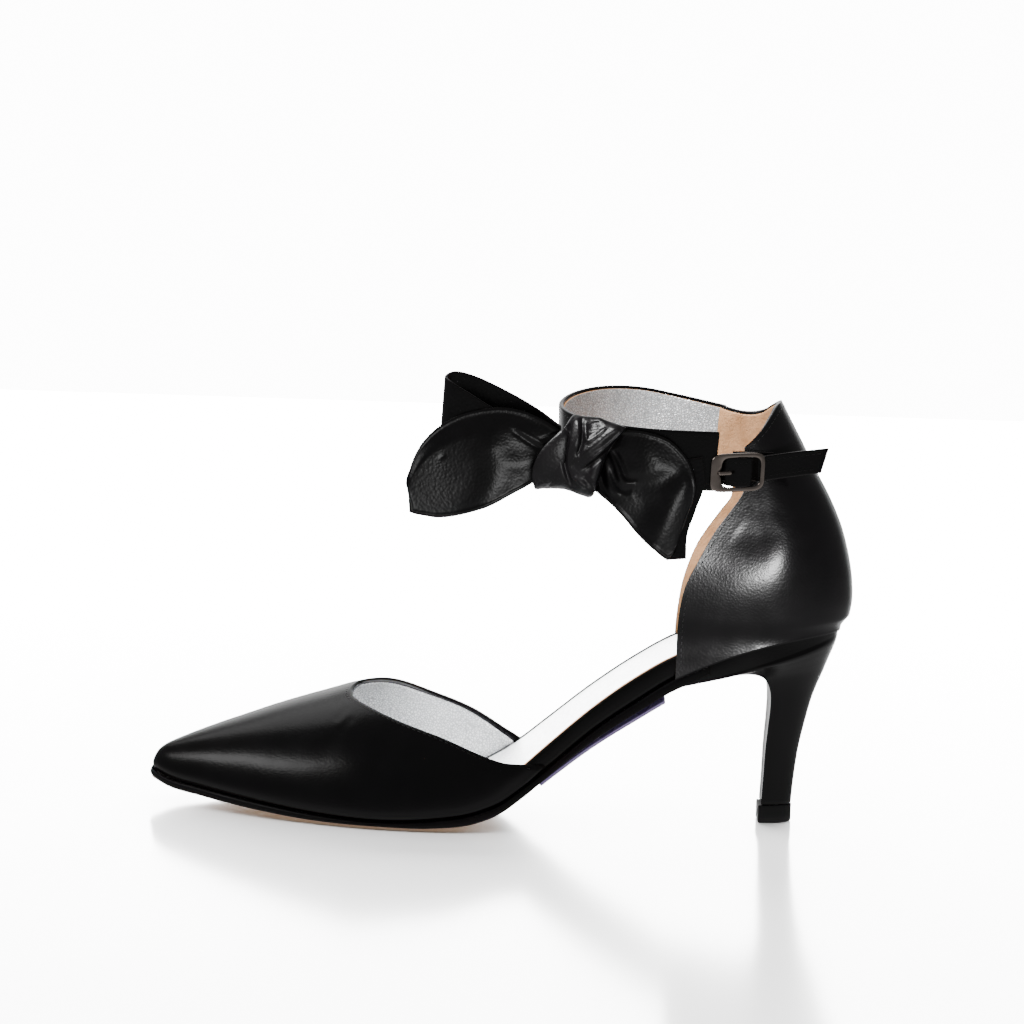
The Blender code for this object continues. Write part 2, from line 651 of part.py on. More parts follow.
def build_buckle():
    """Frame with a wide plate, one window and a centre bar, and the prong on the plate."""
    left = BUCKLE_X - BUCKLE_WIDE / 2
    right = BUCKLE_X + BUCKLE_WIDE / 2
    floor = BUCKLE_Z - BUCKLE_TALL / 2
    roof = BUCKLE_Z + BUCKLE_TALL / 2
    front = BUCKLE_Y - BUCKLE_THICK / 2
    back = BUCKLE_Y + BUCKLE_THICK / 2
    frame = block("buckle", (left, front, floor), (right, back, roof))
    window = block("window cutter", (left + BUCKLE_PLATE, front - CUTTER_REACH, floor + BUCKLE_RAIL),
                   (right - BUCKLE_RAIL, back + CUTTER_REACH, roof - BUCKLE_RAIL))
    combine(frame, window, "DIFFERENCE")
    soften = frame.modifiers.new("edges", "BEVEL")
    soften.width = BUCKLE_ROUND * MM
    soften.segments = 2
    frame.data.materials.append(finish("gunmetal"))
    bpy.ops.mesh.primitive_cylinder_add(vertices=BAR_SIDES, radius=BAR_RADIUS * MM,
                                        depth=(BUCKLE_TALL - BUCKLE_RAIL) * MM,
                                        location=(BAR_X * MM, BAR_Y * MM, BUCKLE_Z * MM))
    bar = bpy.context.object
    bar.name = "centre bar cutter"
    combine(frame, bar, "UNION")
    loft("buckle_prong", rounds(PRONG, PRONG_ROWS, PRONG_SIDES), "gunmetal")


def recentre():
    """Put the middle of the footprint at the origin."""
    points = []
    for part in bpy.data.objects:
        points += [part.matrix_world @ corner.co for corner in part.data.vertices]
    spread = np.array(points)
    middle = (spread.min(axis=0) + spread.max(axis=0)) / 2
    for part in bpy.data.objects:
        part.location.x -= middle[0]
        part.location.y -= middle[1]


def main():
    """Build every piece."""
    for old in list(bpy.data.objects):
        bpy.data.objects.remove(old)
    build_sole()
    build_vamp()
    build_quarter()
    build_heel()
    build_strap()
    build_bow()
    build_buckle()
    bpy.context.view_layer.update()
    recentre()


main()
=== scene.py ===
"""Dressed model of a left women's pump: pointed toe, open waist, slim heel, ankle strap and tied bow.

Tables are in millimetres in the maker's frame: toe toward -X, heel toward +X, outer side toward -Y,
ground at Z = 0. One shift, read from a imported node, carries every piece into the row frame.
"""

import json
import logging
from dataclasses import dataclass, field
from enum import Enum
from typing import Callable, Mapping, Optional, Sequence, Union

import bmesh
import bpy
import numpy as np
from mathutils import Matrix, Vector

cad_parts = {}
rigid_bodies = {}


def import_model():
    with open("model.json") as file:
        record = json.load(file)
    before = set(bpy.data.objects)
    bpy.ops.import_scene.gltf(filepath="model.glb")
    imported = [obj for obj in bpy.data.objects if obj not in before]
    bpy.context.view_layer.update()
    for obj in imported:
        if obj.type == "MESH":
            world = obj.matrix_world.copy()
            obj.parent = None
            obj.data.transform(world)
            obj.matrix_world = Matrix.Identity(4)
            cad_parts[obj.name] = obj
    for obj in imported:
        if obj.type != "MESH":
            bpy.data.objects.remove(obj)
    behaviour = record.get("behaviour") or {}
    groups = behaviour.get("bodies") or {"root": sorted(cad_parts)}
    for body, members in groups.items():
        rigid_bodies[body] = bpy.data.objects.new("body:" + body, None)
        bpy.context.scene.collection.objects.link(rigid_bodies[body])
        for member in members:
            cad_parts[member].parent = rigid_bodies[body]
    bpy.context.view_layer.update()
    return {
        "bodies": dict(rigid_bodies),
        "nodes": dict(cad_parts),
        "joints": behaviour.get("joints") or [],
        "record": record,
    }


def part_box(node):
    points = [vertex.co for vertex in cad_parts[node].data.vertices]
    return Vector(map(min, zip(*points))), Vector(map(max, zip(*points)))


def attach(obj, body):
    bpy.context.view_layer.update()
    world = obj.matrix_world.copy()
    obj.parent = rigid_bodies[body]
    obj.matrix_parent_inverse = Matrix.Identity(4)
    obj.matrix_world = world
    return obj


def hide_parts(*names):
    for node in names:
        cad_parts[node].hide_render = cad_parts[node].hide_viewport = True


MM = 0.001
# Metres within which points are joined, and below which an edge is dropped
WELD = 0.00001
SLIVER = 0.000005
# Edges that turn more are rounded
SHARP = float(np.radians(45.0))
# Share of a light's axis along Z from which its level side is taken from Y
STEEP = 0.95
# Millimetres ahead on a seam that give a stitch its direction
NUDGE = 0.2
log = logging.getLogger("pump")
Array = np.ndarray
Piece = bpy.types.Object
Pair = tuple[float, float]
Point = tuple[float, float, float]
Series = tuple[float, ...]
Value = Union[float, int, Sequence[float], bpy.types.NodeSocket]


class Grain(Enum):
    """Ways a surface breaks up the light."""

    PEBBLE = "fine hide pores"
    CRACKLE = "cracked foil"
    FIBRE = "raw leather fibre"
    POLISH = "polished or moulded"


@dataclass(frozen=True)
class Rows:
    """Short table with named columns; a row is a section or a station."""

    names: str
    values: tuple[Series, ...]

    def col(self, name: str) -> Array:
        """One column as an array."""
        return np.array([row[self.names.split().index(name)] for row in self.values], dtype=float)

    def at(self, where: Array, name: str, key: str = "") -> Array:
        """Cubic through a column.

        Args:
            where: positions, in the key column's unit or in row numbers.
            name: the column to read.
            key: the column that positions refer to, or nothing for row numbers.
        Returns:
            The column's value at each position.
        """
        knots = self.col(key) if key else np.arange(len(self.values), dtype=float)
        return cubic(where, knots, self.col(name))

    def places(self, count: int) -> Array:
        """Even positions from the first row to the last, in row numbers."""
        return np.linspace(0.0, len(self.values) - 1.0, count)

    def read(self, where: Array, key: str = "") -> dict[str, Array]:
        """Every column at the given positions."""
        return {name: self.at(where, name, key) for name in self.names.split()}

    def xyz(self, where: Array, prefix: str = "") -> Array:
        """Points from the three columns that share a prefix."""
        return np.stack([self.at(where, prefix + axis) for axis in "xyz"], axis=-1)


def cubic(where: Array, knots: Array, values: Array) -> Array:
    """Hermite cubic whose slope at each knot comes from its neighbours.

    Args:
        where: positions to read.
        knots: rising positions of the known values.
        values: the known values.
    Returns:
        The smooth value at each position, held flat past both ends.
    """
    slope = np.gradient(values, knots)
    where = np.clip(where, knots[0], knots[-1])
    low = np.clip(np.searchsorted(knots, where) - 1, 0, len(knots) - 2)
    span = knots[low + 1] - knots[low]
    t = (where - knots[low]) / span
    rise = values[low] + (values[low + 1] - values[low]) * (3 - 2 * t) * t * t
    return rise + span * (slope[low] * (1 - t) ** 2 * t - slope[low + 1] * t * t * (1 - t))


def ease(value: Array) -> Array:
    """Smooth step from 0 to 1."""
    value = np.clip(value, 0.0, 1.0)
    return value * value * (3 - 2 * value)


def unit(vectors: Array) -> Array:
    """Vectors of length one."""
    return vectors / np.maximum(np.linalg.norm(vectors, axis=-1, keepdims=True), 1e-9)


def circle(count: int) -> Array:
    """Even angles round a circle."""
    return np.linspace(0.0, 2 * np.pi, count, endpoint=False)


def squared(wave: Array, power: float) -> Array:
    """A sine or cosine pushed toward one and minus one."""
    return np.sign(wave) * np.abs(wave) ** power


def between(one: Array, other: Array, share: Array) -> Array:
    """Points on straight lines from one edge to the other."""
    return one[:, None, :] + (other - one)[:, None, :] * share[None, :, None]


def follow(where: Array, step: Array, points: Array) -> Array:
    """Points at given distances along a path."""
    return np.stack([np.interp(where, step, points[:, k]) for k in range(3)], axis=-1)


def stand(right: Array, up: Array, back: Array, place: Sequence[float]) -> Matrix:
    """World matrix from three axes and a place."""
    return Matrix([[right[k], up[k], back[k], place[k]] for k in range(3)] + [[0, 0, 0, 1]])


def normals(points: Array, inside: Sequence[float]) -> Array:
    """Unit normals of a grid, the cross product of its two slopes, turned away from a point.

    Args:
        points: grid of points, rows by columns by three.
        inside: a point on the inner side.
    Returns:
        One normal for each grid point.
    """
    cross = unit(np.cross(np.gradient(points, axis=0), np.gradient(points, axis=1)))
    away = np.sum(cross * (points - np.array(inside)))
    return cross if away > 0 else -cross


def linear(code: str) -> tuple[float, float, float, float]:
    """Linear colour from an sRGB hex code.

    Args:
        code: a hash sign and six hex digits.
    Returns:
        Red, green, blue and an alpha of one.
    """
    raw = np.array([int(code[i:i + 2], 16) for i in (1, 3, 5)]) / 255.0
    flat = np.where(raw <= 0.04045, raw / 12.92, ((raw + 0.055) / 1.055) ** 2.4)
    return (float(flat[0]), float(flat[1]), float(flat[2]), 1.0)


def add(tree: bpy.types.NodeTree, kind: str, settings: Optional[Mapping[str, object]] = None,
        inputs: Optional[Mapping[Union[str, int], Value]] = None) -> bpy.types.Node:
    """Add a shader node with its settings, values and links.

    Args:
        tree: the node tree.
        kind: the node's type name.
        settings: properties of the node.
        inputs: input sockets, each with a value or the socket that feeds it.
    Returns:
        The new node.
    """
    node = tree.nodes.new(kind)
    for key, value in (settings or {}).items():
        setattr(node, key, value)
    for key, value in (inputs or {}).items():
        if isinstance(value, bpy.types.NodeSocket):
            tree.links.new(value, node.inputs[key])
        else:
            node.inputs[key].default_value = value
    return node


@dataclass(frozen=True)
class Finish:
    """A real material: two shades, a range of roughness and a grain of a real size."""

    name: str
    dark: str
    light: str
    rough: Pair
    metallic: float = 0.0
    grain: Grain = Grain.PEBBLE
    grain_mm: float = 0.9
    depth_mm: float = 0.03
    wave_mm: float = 9.0
    wave_depth_mm: float = 0.10
    coat: float = 0.0
    specular: float = 0.5
    coat_rough: float = 0.18
    spread: Pair = (0.3, 0.7)
    stretch: Point = (0.35, 1.0, 1.0)
    warp: Pair = (0.6, 0.9)
    crack: float = 0.22
    crack_shade: float = 0.35
    patch_shade: float = 0.82

    def height(self, tree: bpy.types.NodeTree, place: bpy.types.NodeSocket) -> bpy.types.NodeSocket:
        """Fine relief of the grain.

        Args:
            tree: the node tree.
            place: object coordinates.
        Returns:
            The socket that carries the height.
        """
        scale = 1.0 / (self.grain_mm * MM)
        if self.grain is Grain.FIBRE:
            stretch = add(tree, "ShaderNodeMapping", None, {"Vector": place, "Scale": self.stretch})
            return add(tree, "ShaderNodeTexNoise", None,
                       {"Vector": stretch.outputs[0], "Scale": scale, "Detail": 4.0}).outputs[0]
        if self.grain is Grain.POLISH:
            return add(tree, "ShaderNodeTexNoise", None,
                       {"Vector": place, "Scale": scale, "Detail": 2.0}).outputs[0]
        warp = add(tree, "ShaderNodeTexNoise", None,
                   {"Vector": place, "Scale": scale * self.warp[0], "Detail": 2.0})
        shift = add(tree, "ShaderNodeVectorMath", {"operation": "SCALE"},
                    {0: warp.outputs["Color"], "Scale": self.grain_mm * MM * self.warp[1]})
        bent = add(tree, "ShaderNodeVectorMath", {"operation": "ADD"}, {0: place, 1: shift.outputs[0]})
        feature = "DISTANCE_TO_EDGE" if self.grain is Grain.CRACKLE else "SMOOTH_F1"
        cells = add(tree, "ShaderNodeTexVoronoi", {"feature": feature},
                    {"Vector": bent.outputs[0], "Scale": scale})
        return cells.outputs["Distance"]

    def material(self) -> bpy.types.Material:
        """Principled material: two shades and two roughnesses mixed by blotches, grain and waves as bump.

        Returns:
            The material, made once for each name.
        """
        known = bpy.data.materials.get(self.name)
        if known:
            return known
        made = bpy.data.materials.new(self.name)
        made.use_nodes = True
        tree = made.node_tree
        shader = tree.nodes["Principled BSDF"]
        place = add(tree, "ShaderNodeTexCoord").outputs["Object"]
        blotch = add(tree, "ShaderNodeTexNoise", None,
                     {"Vector": place, "Scale": 1.0 / (self.wave_mm * MM), "Detail": 3.0}).outputs[0]
        relief = self.height(tree, place)
        mix_by = blotch
        if self.grain is Grain.CRACKLE:
            flake = add(tree, "ShaderNodeMapRange", None,
                        {"Value": relief, "From Max": self.crack, "To Min": self.crack_shade})
            patch = add(tree, "ShaderNodeMapRange", None,
                        {"Value": blotch, "From Min": self.spread[0], "From Max": self.spread[1],
                         "To Min": self.patch_shade})
            mix_by = add(tree, "ShaderNodeMath", {"operation": "MULTIPLY"},
                         {0: flake.outputs[0], 1: patch.outputs[0]}).outputs[0]
        shade = add(tree, "ShaderNodeMix", {"data_type": "RGBA"},
                    {0: mix_by, 6: linear(self.dark), 7: linear(self.light)})
        rough = add(tree, "ShaderNodeMapRange", None,
                    {"Value": blotch, "From Min": self.spread[0], "From Max": self.spread[1],
                     "To Min": self.rough[0], "To Max": self.rough[1]})
        wave = add(tree, "ShaderNodeBump", None, {"Height": blotch, "Distance": self.wave_depth_mm * MM})
        fine = add(tree, "ShaderNodeBump", None,
                   {"Height": relief, "Distance": self.depth_mm * MM, "Normal": wave.outputs[0]})
        tree.links.new(shade.outputs[2], shader.inputs["Base Color"])
        tree.links.new(rough.outputs[0], shader.inputs["Roughness"])
        tree.links.new(fine.outputs[0], shader.inputs["Normal"])
        shader.inputs["Metallic"].default_value = self.metallic
        shader.inputs["Coat Weight"].default_value = self.coat
        shader.inputs["Coat Roughness"].default_value = self.coat_rough
        shader.inputs["Specular IOR Level"].default_value = self.specular
        return made


# Chrome-tanned nappa, aniline black with a thin glaze: near black, soft wide gloss. Its pores
# are drawn coarser, at 0.7 mm
NAPPA = Finish("black_nappa_leather", "#070607", "#0f0d0f", (0.20, 0.26), grain_mm=0.7, depth_mm=0.028,
               wave_depth_mm=0.04, coat=0.05, specular=0.4)
# The same nappa, thinner and tumbled for the bow: duller, with small wrinkles. Its pores are drawn coarser,
# at 0.9 mm
BOW_NAPPA = Finish("soft_bow_nappa", "#080708", "#120f12", (0.28, 0.36), grain_mm=0.9, depth_mm=0.08,
                   wave_mm=6.0, wave_depth_mm=0.05, coat=0.05, specular=0.4)
# Cut edge of the nappa, dyed through but paler than the glazed face. The pale shade is partly a painted
# highlight: the thin line of gloss along the cut edges of the bow, tongue and tab
PALE_EDGE_AND_HIGHLIGHT = Finish("cut_nappa_edge", "#3a3537", "#544d50", (0.35, 0.5), grain=Grain.FIBRE, grain_mm=0.8)
# Foil-laminated lining leather: silver flakes with dark cracks between them, drawn coarser, at 1 mm
FOIL = Finish("silver_foil_lining", "#7d7f82", "#f4f5f6", (0.34, 0.44), metallic=0.6, grain=Grain.CRACKLE,
              grain_mm=1.0, depth_mm=0.28, wave_depth_mm=0.0)
# Smooth foil of the insole sock, worn nearly white
SOCK_FOIL = Finish("pale_sock_foil", "#a5a8ab", "#e9eaeb", (0.38, 0.5), metallic=0.1, grain=Grain.CRACKLE,
                   grain_mm=1.8, depth_mm=0.03, wave_mm=6.0)
# Vegetable-tanned pig lining, undyed: warm tan, dull, with fine pores drawn coarser, at 0.8 mm
TAN_LINING = Finish("tan_pig_lining", "#a0724b", "#cfa075", (0.55, 0.7), grain_mm=0.8, depth_mm=0.12,
                    wave_mm=4.0)
# Dyed and waxed sole edge: near black with a dull shine
SOLE_EDGE = Finish("waxed_sole_edge", "#090808", "#141112", (0.34, 0.48), grain=Grain.FIBRE, grain_mm=1.4,
                   depth_mm=0.015, wave_depth_mm=0.03, specular=0.3)
# Natural sole leather: tan, brushed along the sole
SOLE_LEATHER = Finish("natural_sole_leather", "#c08f66", "#deb48b", (0.45, 0.6), grain=Grain.FIBRE,
                      grain_mm=1.2)
# Moulded rubber of the top lift: dull charcoal
RUBBER = Finish("black_rubber_lift", "#101010", "#1e1e1e", (0.45, 0.58), grain=Grain.POLISH, grain_mm=0.9)
# Plum film that guards the sole waist: thin, slightly glossy plastic
FILM = Finish("plum_guard_film", "#5d4f78", "#786a96", (0.22, 0.34), grain=Grain.POLISH, grain_mm=2.0,
              depth_mm=0.02, coat=0.2)
# Die-cast buckle, plated gunmetal and polished: a warm grey mirror
GUNMETAL = Finish("plated_gunmetal", "#8c8079", "#b8aca4", (0.16, 0.26), metallic=1.0, grain=Grain.POLISH,
                  grain_mm=2.5, depth_mm=0.01)
# Bonded polyester thread: a faint bead of light on each stitch
THREAD = Finish("black_sewing_thread", "#131113", "#221f22", (0.35, 0.5), grain=Grain.FIBRE, grain_mm=0.4)
# White acrylic table, softly polished: a pale, blurred mirror of the shoe
TABLE = Finish("white_acrylic_table", "#f4f4f4", "#f7f7f7", (0.12, 0.15), grain=Grain.POLISH, grain_mm=40.0,
               depth_mm=0.0, wave_mm=400.0, wave_depth_mm=0.0, specular=0.5)

# Outer face, inner face and cut edge; the edge shade is partly a painted highlight along the rim
BOW_SKINS = (BOW_NAPPA, BOW_NAPPA, PALE_EDGE_AND_HIGHLIGHT)


@dataclass
class Last:
    """The foot form that every piece follows: plan outline, side profile and crown."""

    toe_x: float = -124.2
    heel_x: float = 122.5
    gap: float = 0.3
    plan: Rows = Rows("x lateral medial", (
        (-124.2, 8.0, 8.0), (-121.8, 3.4, 12.6), (-118.0, -0.3, 15.6), (-110.0, -6.2, 19.9),
        (-97.0, -14.6, 25.3), (-80.0, -24.0, 31.0), (-62.0, -31.6, 35.2), (-45.0, -36.7, 37.2),
        (-28.0, -39.0, 36.5), (-12.0, -38.8, 33.0), (5.0, -35.6, 28.2), (20.0, -30.6, 25.0),
        (38.0, -26.0, 23.6), (55.0, -23.8, 23.9), (72.0, -24.0, 25.0), (90.5, -25.0, 26.0),
        (105.0, -22.2, 23.2), (115.0, -15.9, 16.9), (122.5, 0.5, 0.5)))
    profile: Rows = Rows("x tread seat foot", (
        (-124.2, 7.6, 10.4, 12.6), (-118.0, 5.2, 8.6, 11.0), (-105.0, 3.4, 7.1, 9.6), (-82.0, 1.3, 4.8, 7.5),
        (-66.0, 0.3, 3.4, 6.0), (-54.0, 0.0, 2.7, 5.3), (-36.0, 0.0, 2.5, 5.6), (-22.0, 0.2, 3.6, 7.4),
        (-4.0, 2.8, 6.9, 13.0), (3.0, 5.8, 9.8, 17.4), (9.0, 10.2, 14.0, 21.8), (19.0, 18.6, 21.6, 30.4),
        (34.0, 30.7, 34.3, 43.0), (50.0, 41.6, 45.6, 54.5), (62.7, 49.6, 54.0, 62.0),
        (75.0, 55.4, 59.9, 66.8), (86.0, 59.7, 64.2, 70.0), (97.0, 63.0, 67.5, 72.5),
        (111.0, 65.6, 70.1, 74.6), (122.5, 66.6, 71.1, 75.4)))
    ridge: Rows = Rows("x y z", (
        (-124.2, 8.0, 10.0), (-123.4, 8.0, 14.2), (-122.0, 8.1, 17.0), (-119.6, 8.3, 19.2),
        (-114.0, 8.6, 22.0), (-107.0, 8.8, 25.0), (-98.0, 9.0, 28.5), (-89.0, 9.2, 31.8),
        (-80.0, 9.4, 35.1), (-71.0, 9.5, 38.1), (-62.0, 9.5, 40.9),
        (-52.0, 9.5, 44.0), (-33.0, 9.8, 47.8), (-14.0, 9.2, 52.5), (5.0, 8.0, 58.0), (22.0, 6.0, 64.0)))

    def station(self, x: Array) -> Array:
        """Angle that runs from 0 at the toe to pi at the heel, so both ends round off."""
        share = np.clip((np.asarray(x, dtype=float) - self.toe_x) / (self.heel_x - self.toe_x), 0, 1)
        return np.arccos(1 - 2 * share)

    def stations(self, start: float, end: float, count: int) -> Array:
        """Positions along the foot, even in that angle."""
        turn = np.linspace(self.station(start), self.station(end), count)
        return self.toe_x + (self.heel_x - self.toe_x) * (1 - np.cos(turn)) / 2

    def edge(self, x: Array, side: str) -> Array:
        """Sideways place of the feather edge on one side."""
        return cubic(self.station(x), self.station(self.plan.col("x")), self.plan.col(side))

    def level(self, x: Array, line: str) -> Array:
        """Height of one line of the side profile."""
        return self.profile.at(np.asarray(x, dtype=float), line, "x")

    def crown(self, x: Array, axis: str) -> Array:
        """Place of the crown line: y or z."""
        return cubic(self.station(x), self.station(self.ridge.col("x")), self.ridge.col(axis))

    def outline(self, x: Array, grow: Union[float, Array]) -> tuple[Array, Array]:
        """Both edges moved outward along their plan normals.

        Args:
            x: stations along the foot.
            grow: how far outward, in millimetres.
        Returns:
            Lateral and medial points, each stations by two.
        """
        turn = self.station(x)
        sides = []
        for side, sign in (("lateral", 1.0), ("medial", -1.0)):
            y = self.edge(x, side)
            run = (self.heel_x - self.toe_x) / 2 * np.sin(turn)
            rise = np.gradient(y, turn)
            length = np.hypot(run, rise)
            sides.append(np.stack([x + sign * grow * rise / length, y - sign * grow * run / length], axis=-1))
        return sides[0], sides[1]


@dataclass
class Bench:
    """Turns grids into finished pieces.

    The shift carries the tables into the row frame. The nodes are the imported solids; a piece with a
    node's name stands for that node.
    """

    shift: Array
    nodes: frozenset[str]
    made: list[str] = field(default_factory=list)

    def shape(self, name: str, points: Array, faces: Array, finishes: Sequence[Finish],
              marks: Optional[Array] = None) -> Piece:
        """Mesh object from points and quads, welded where points meet.

        Args:
            name: the piece's name.
            points: points in millimetres, in any grid.
            faces: point numbers, four to a face.
            finishes: materials in order.
            marks: material number of each face, or nothing for the first material.
        Returns:
            The object, at the origin.
        """
        data = bpy.data.meshes.new(name)
        spots = (points.reshape(-1, 3) + self.shift) * MM
        data.from_pydata(spots.tolist(), [], faces.reshape(-1, 4).tolist())
        for finish in finishes:
            data.materials.append(finish.material())
        if marks is not None:
            data.polygons.foreach_set("material_index", marks.astype(np.int32).ravel())
        work = bmesh.new()
        work.from_mesh(data)
        bmesh.ops.remove_doubles(work, verts=work.verts, dist=WELD)
        bmesh.ops.dissolve_degenerate(work, edges=work.edges, dist=SLIVER)
        work.to_mesh(data)
        work.free()
        data.polygons.foreach_set("use_smooth", np.ones(len(data.polygons), dtype=bool))
        piece = bpy.data.objects.new(name, data)
        bpy.context.collection.objects.link(piece)
        return piece

    def mesh(self, name: str, points: Array, wrap: bool, finishes: Sequence[Finish],
             marks: Optional[Array] = None) -> Piece:
        """Quads over a grid.

        Args:
            name: the piece's name.
            points: grid in millimetres, rows by columns by three.
            wrap: whether the last column joins the first.
            finishes: materials in order.
            marks: material number of each face, or nothing for the first material.
        Returns:
            The object.
        """
        rows, cols = points.shape[:2]
        row, col = np.meshgrid(np.arange(rows - 1), np.arange(cols if wrap else cols - 1), indexing="ij")
        after = (col + 1) % cols
        faces = np.stack([row * cols + col, row * cols + after, (row + 1) * cols + after,
                          (row + 1) * cols + col], axis=-1)
        return self.shape(name, points, faces, finishes, marks)

    def outward(self, piece: Piece) -> Piece:
        """Turn the faces of a closed body outward.

        Args:
            piece: the object.
        Returns:
            The same object.
        """
        work = bmesh.new()
        work.from_mesh(piece.data)
        bmesh.ops.recalc_face_normals(work, faces=work.faces)
        work.to_mesh(piece.data)
        work.free()
        return piece

    def soften(self, piece: Piece, round_mm: float) -> None:
        """Round the piece's sharp edges.

        Args:
            piece: the object.
            round_mm: radius, or nothing to leave them.
        """
        if round_mm:
            step = piece.modifiers.new("edge", "BEVEL")
            step.limit_method = "ANGLE"
            step.angle_limit = SHARP
            step.width = round_mm * MM
            step.segments = 3

    def keep(self, piece: Piece, name: str) -> Piece:
        """Ride the piece on the shoe, hide the node it stands for, if any, and list it among the made pieces.

        Args:
            piece: the finished object.
            name: the name it was made under.
        Returns:
            The same object.
        """
        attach(piece, "root")
        if name in self.nodes:
            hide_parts(name)
        self.made.append(piece.name)
        log.info("made %s", piece.name)
        return piece

    def wall(self, name: str, points: Array, thick: float, inside: Sequence[float],
             finishes: Sequence[Finish], round_mm: float = 0.0,
             slot: str = "black_nappa") -> Piece:
        """Leather wall: a grid thickened inward, with its cut edge rounded.

        Args:
            name: the piece's name.
            points: outer face, in millimetres.
            thick: wall thickness in millimetres.
            inside: a point on the inner side.
            finishes: outer, inner and edge materials.
            round_mm: radius of the edge, or nothing for a clean cut.
            slot: the record's material slot; not used.
        Returns:
            The object with its Solidify and Bevel steps.
        """
        piece = self.mesh(name, points, False, finishes)
        hub = (np.array(inside) + self.shift) * MM
        count = len(piece.data.polygons)
        centre = np.empty(count * 3)
        facing = np.empty(count * 3)
        piece.data.polygons.foreach_get("center", centre)
        piece.data.polygons.foreach_get("normal", facing)
        if np.sum((centre.reshape(-1, 3) - hub) * facing.reshape(-1, 3)) < 0:
            piece.data.flip_normals()
        thicken = piece.modifiers.new("wall", "SOLIDIFY")
        thicken.thickness = thick * MM
        thicken.offset = -1.0
        thicken.use_even_offset = False
        thicken.material_offset = 1
        thicken.material_offset_rim = 2
        self.soften(piece, round_mm)
        return self.keep(piece, name)

    def solid(self, name: str, loops: Array, finishes: Sequence[Finish],
              marks: Optional[Array] = None, round_mm: float = 0.0,
              caps: tuple[bool, bool] = (True, True)) -> Piece:
        """Closed body through loops, each capped end drawn to its middle.

        Args:
            name: the piece's name.
            loops: loops by points by three.
            finishes: materials in order.
            marks: material number by loop gap and point, without the end caps.
            round_mm: radius of sharp edges, or nothing.
            caps: which ends need a cap; an end that narrows to a line closes by itself.
        Returns:
            The object.
        """
        first = np.broadcast_to(loops[:1].mean(axis=1, keepdims=True), loops[:1].shape)
        last = np.broadcast_to(loops[-1:].mean(axis=1, keepdims=True), loops[-1:].shape)
        grid = np.concatenate([first[:caps[0]], loops, last[:caps[1]]])
        if marks is not None:
            marks = np.concatenate([marks[:1][:caps[0]], marks, marks[-1:][:caps[1]]])
        piece = self.outward(self.mesh(name, grid, True, finishes, marks))
        self.soften(piece, round_mm)
        return self.keep(piece, name)

    def stitches(self, name: str, path: Array, up: Array, pitch: float = 2.2, length: float = 1.6,
                 radius: float = 0.18) -> Piece:
        """Row of thread stitches: short rounded capsules along a path, half sunk in the leather.

        Each capsule is a circle whose radius follows the square root of one minus the fourth power
        of its place along the stitch.

        Args:
            name: the piece's name.
            path: points of the seam.
            up: outward normals along the seam.
            pitch: stitch spacing.
            length: thread that shows.
            radius: thread radius.
        Returns:
            The object.
        """
        step = np.concatenate([[0.0], np.cumsum(np.linalg.norm(np.diff(path, axis=0), axis=1))])
        where = np.arange(pitch, step[-1] - pitch, pitch)
        middle = follow(where, step, path)
        out = unit(follow(where, step, up))
        ahead = unit(follow(where + NUDGE, step, path) - middle)
        across = unit(np.cross(ahead, out))
        run = np.linspace(-1.0, 1.0, 7)
        turn = circle(6)
        ring = radius * np.sqrt(1 - run ** 4)
        offset = (run[:, None, None] * length / 2 * ahead[:, None, None, :]
                  + ring[:, None, None] * (np.cos(turn)[:, None] * out[:, None, None, :]
                                           + np.sin(turn)[:, None] * across[:, None, None, :]))
        points = (middle - 0.3 * radius * out)[:, None, None, :] + offset
        count, rings, sides = points.shape[:3]
        k, i, j = np.meshgrid(np.arange(count), np.arange(rings - 1), np.arange(sides), indexing="ij")
        here = (k * rings + i) * sides
        there = here + sides
        after = (j + 1) % sides
        faces = np.stack([here + j, there + j, there + after, here + after], axis=-1)
        return self.keep(self.outward(self.shape(name, points, faces, (THREAD,))), name)


@dataclass(frozen=True)
class Fold:
    """A soft ridge, or a trough where the height is below zero, along a curve in side view."""

    width: float
    height: float
    path: tuple[Pair, ...]
    taper: float = 0.8

    def at(self, points: Array) -> Array:
        """Bell curve of the distance to the path, fading toward both of its ends.

        Args:
            points: grid of points.
        Returns:
            Height at each point.
        """
        knots = np.arange(len(self.path), dtype=float)
        share = np.linspace(0.0, 1.0, 12 * len(self.path))
        spots = np.array(self.path)
        line = np.stack([cubic(share * knots[-1], knots, spots[:, k]) for k in (0, 1)])
        gap = np.hypot(points[..., 0, None] - line[0], points[..., 2, None] - line[1])
        near = np.argmin(gap, axis=-1)
        fade = 1 - self.taper * (2 * share[near] - 1) ** 6
        return self.height * fade * np.exp(-(np.min(gap, axis=-1) / self.width) ** 2)


def relief(points: Array, folds: Sequence[Fold]) -> Array:
    """Sum of the folds at each point."""
    return sum((fold.at(points) for fold in folds), np.zeros(points.shape[:2]))


EDGES = "top_x top_y top_z low_x low_y low_z belly"


def band(rows: Rows, along: int, across: int) -> Array:
    """Surface between two edge lines, bowed toward -Y by a parabola of height belly.

    Args:
        rows: top edge, low edge and belly of each station.
        along: points along the band.
        across: points from edge to edge.
    Returns:
        Grid along by across by three.
    """
    at = rows.places(along)
    share = np.linspace(0.0, 1.0, across)
    points = between(rows.xyz(at, "top_"), rows.xyz(at, "low_"), share)
    points[:, :, 1] -= rows.at(at, "belly")[:, None] * 4 * share * (1 - share)
    return points


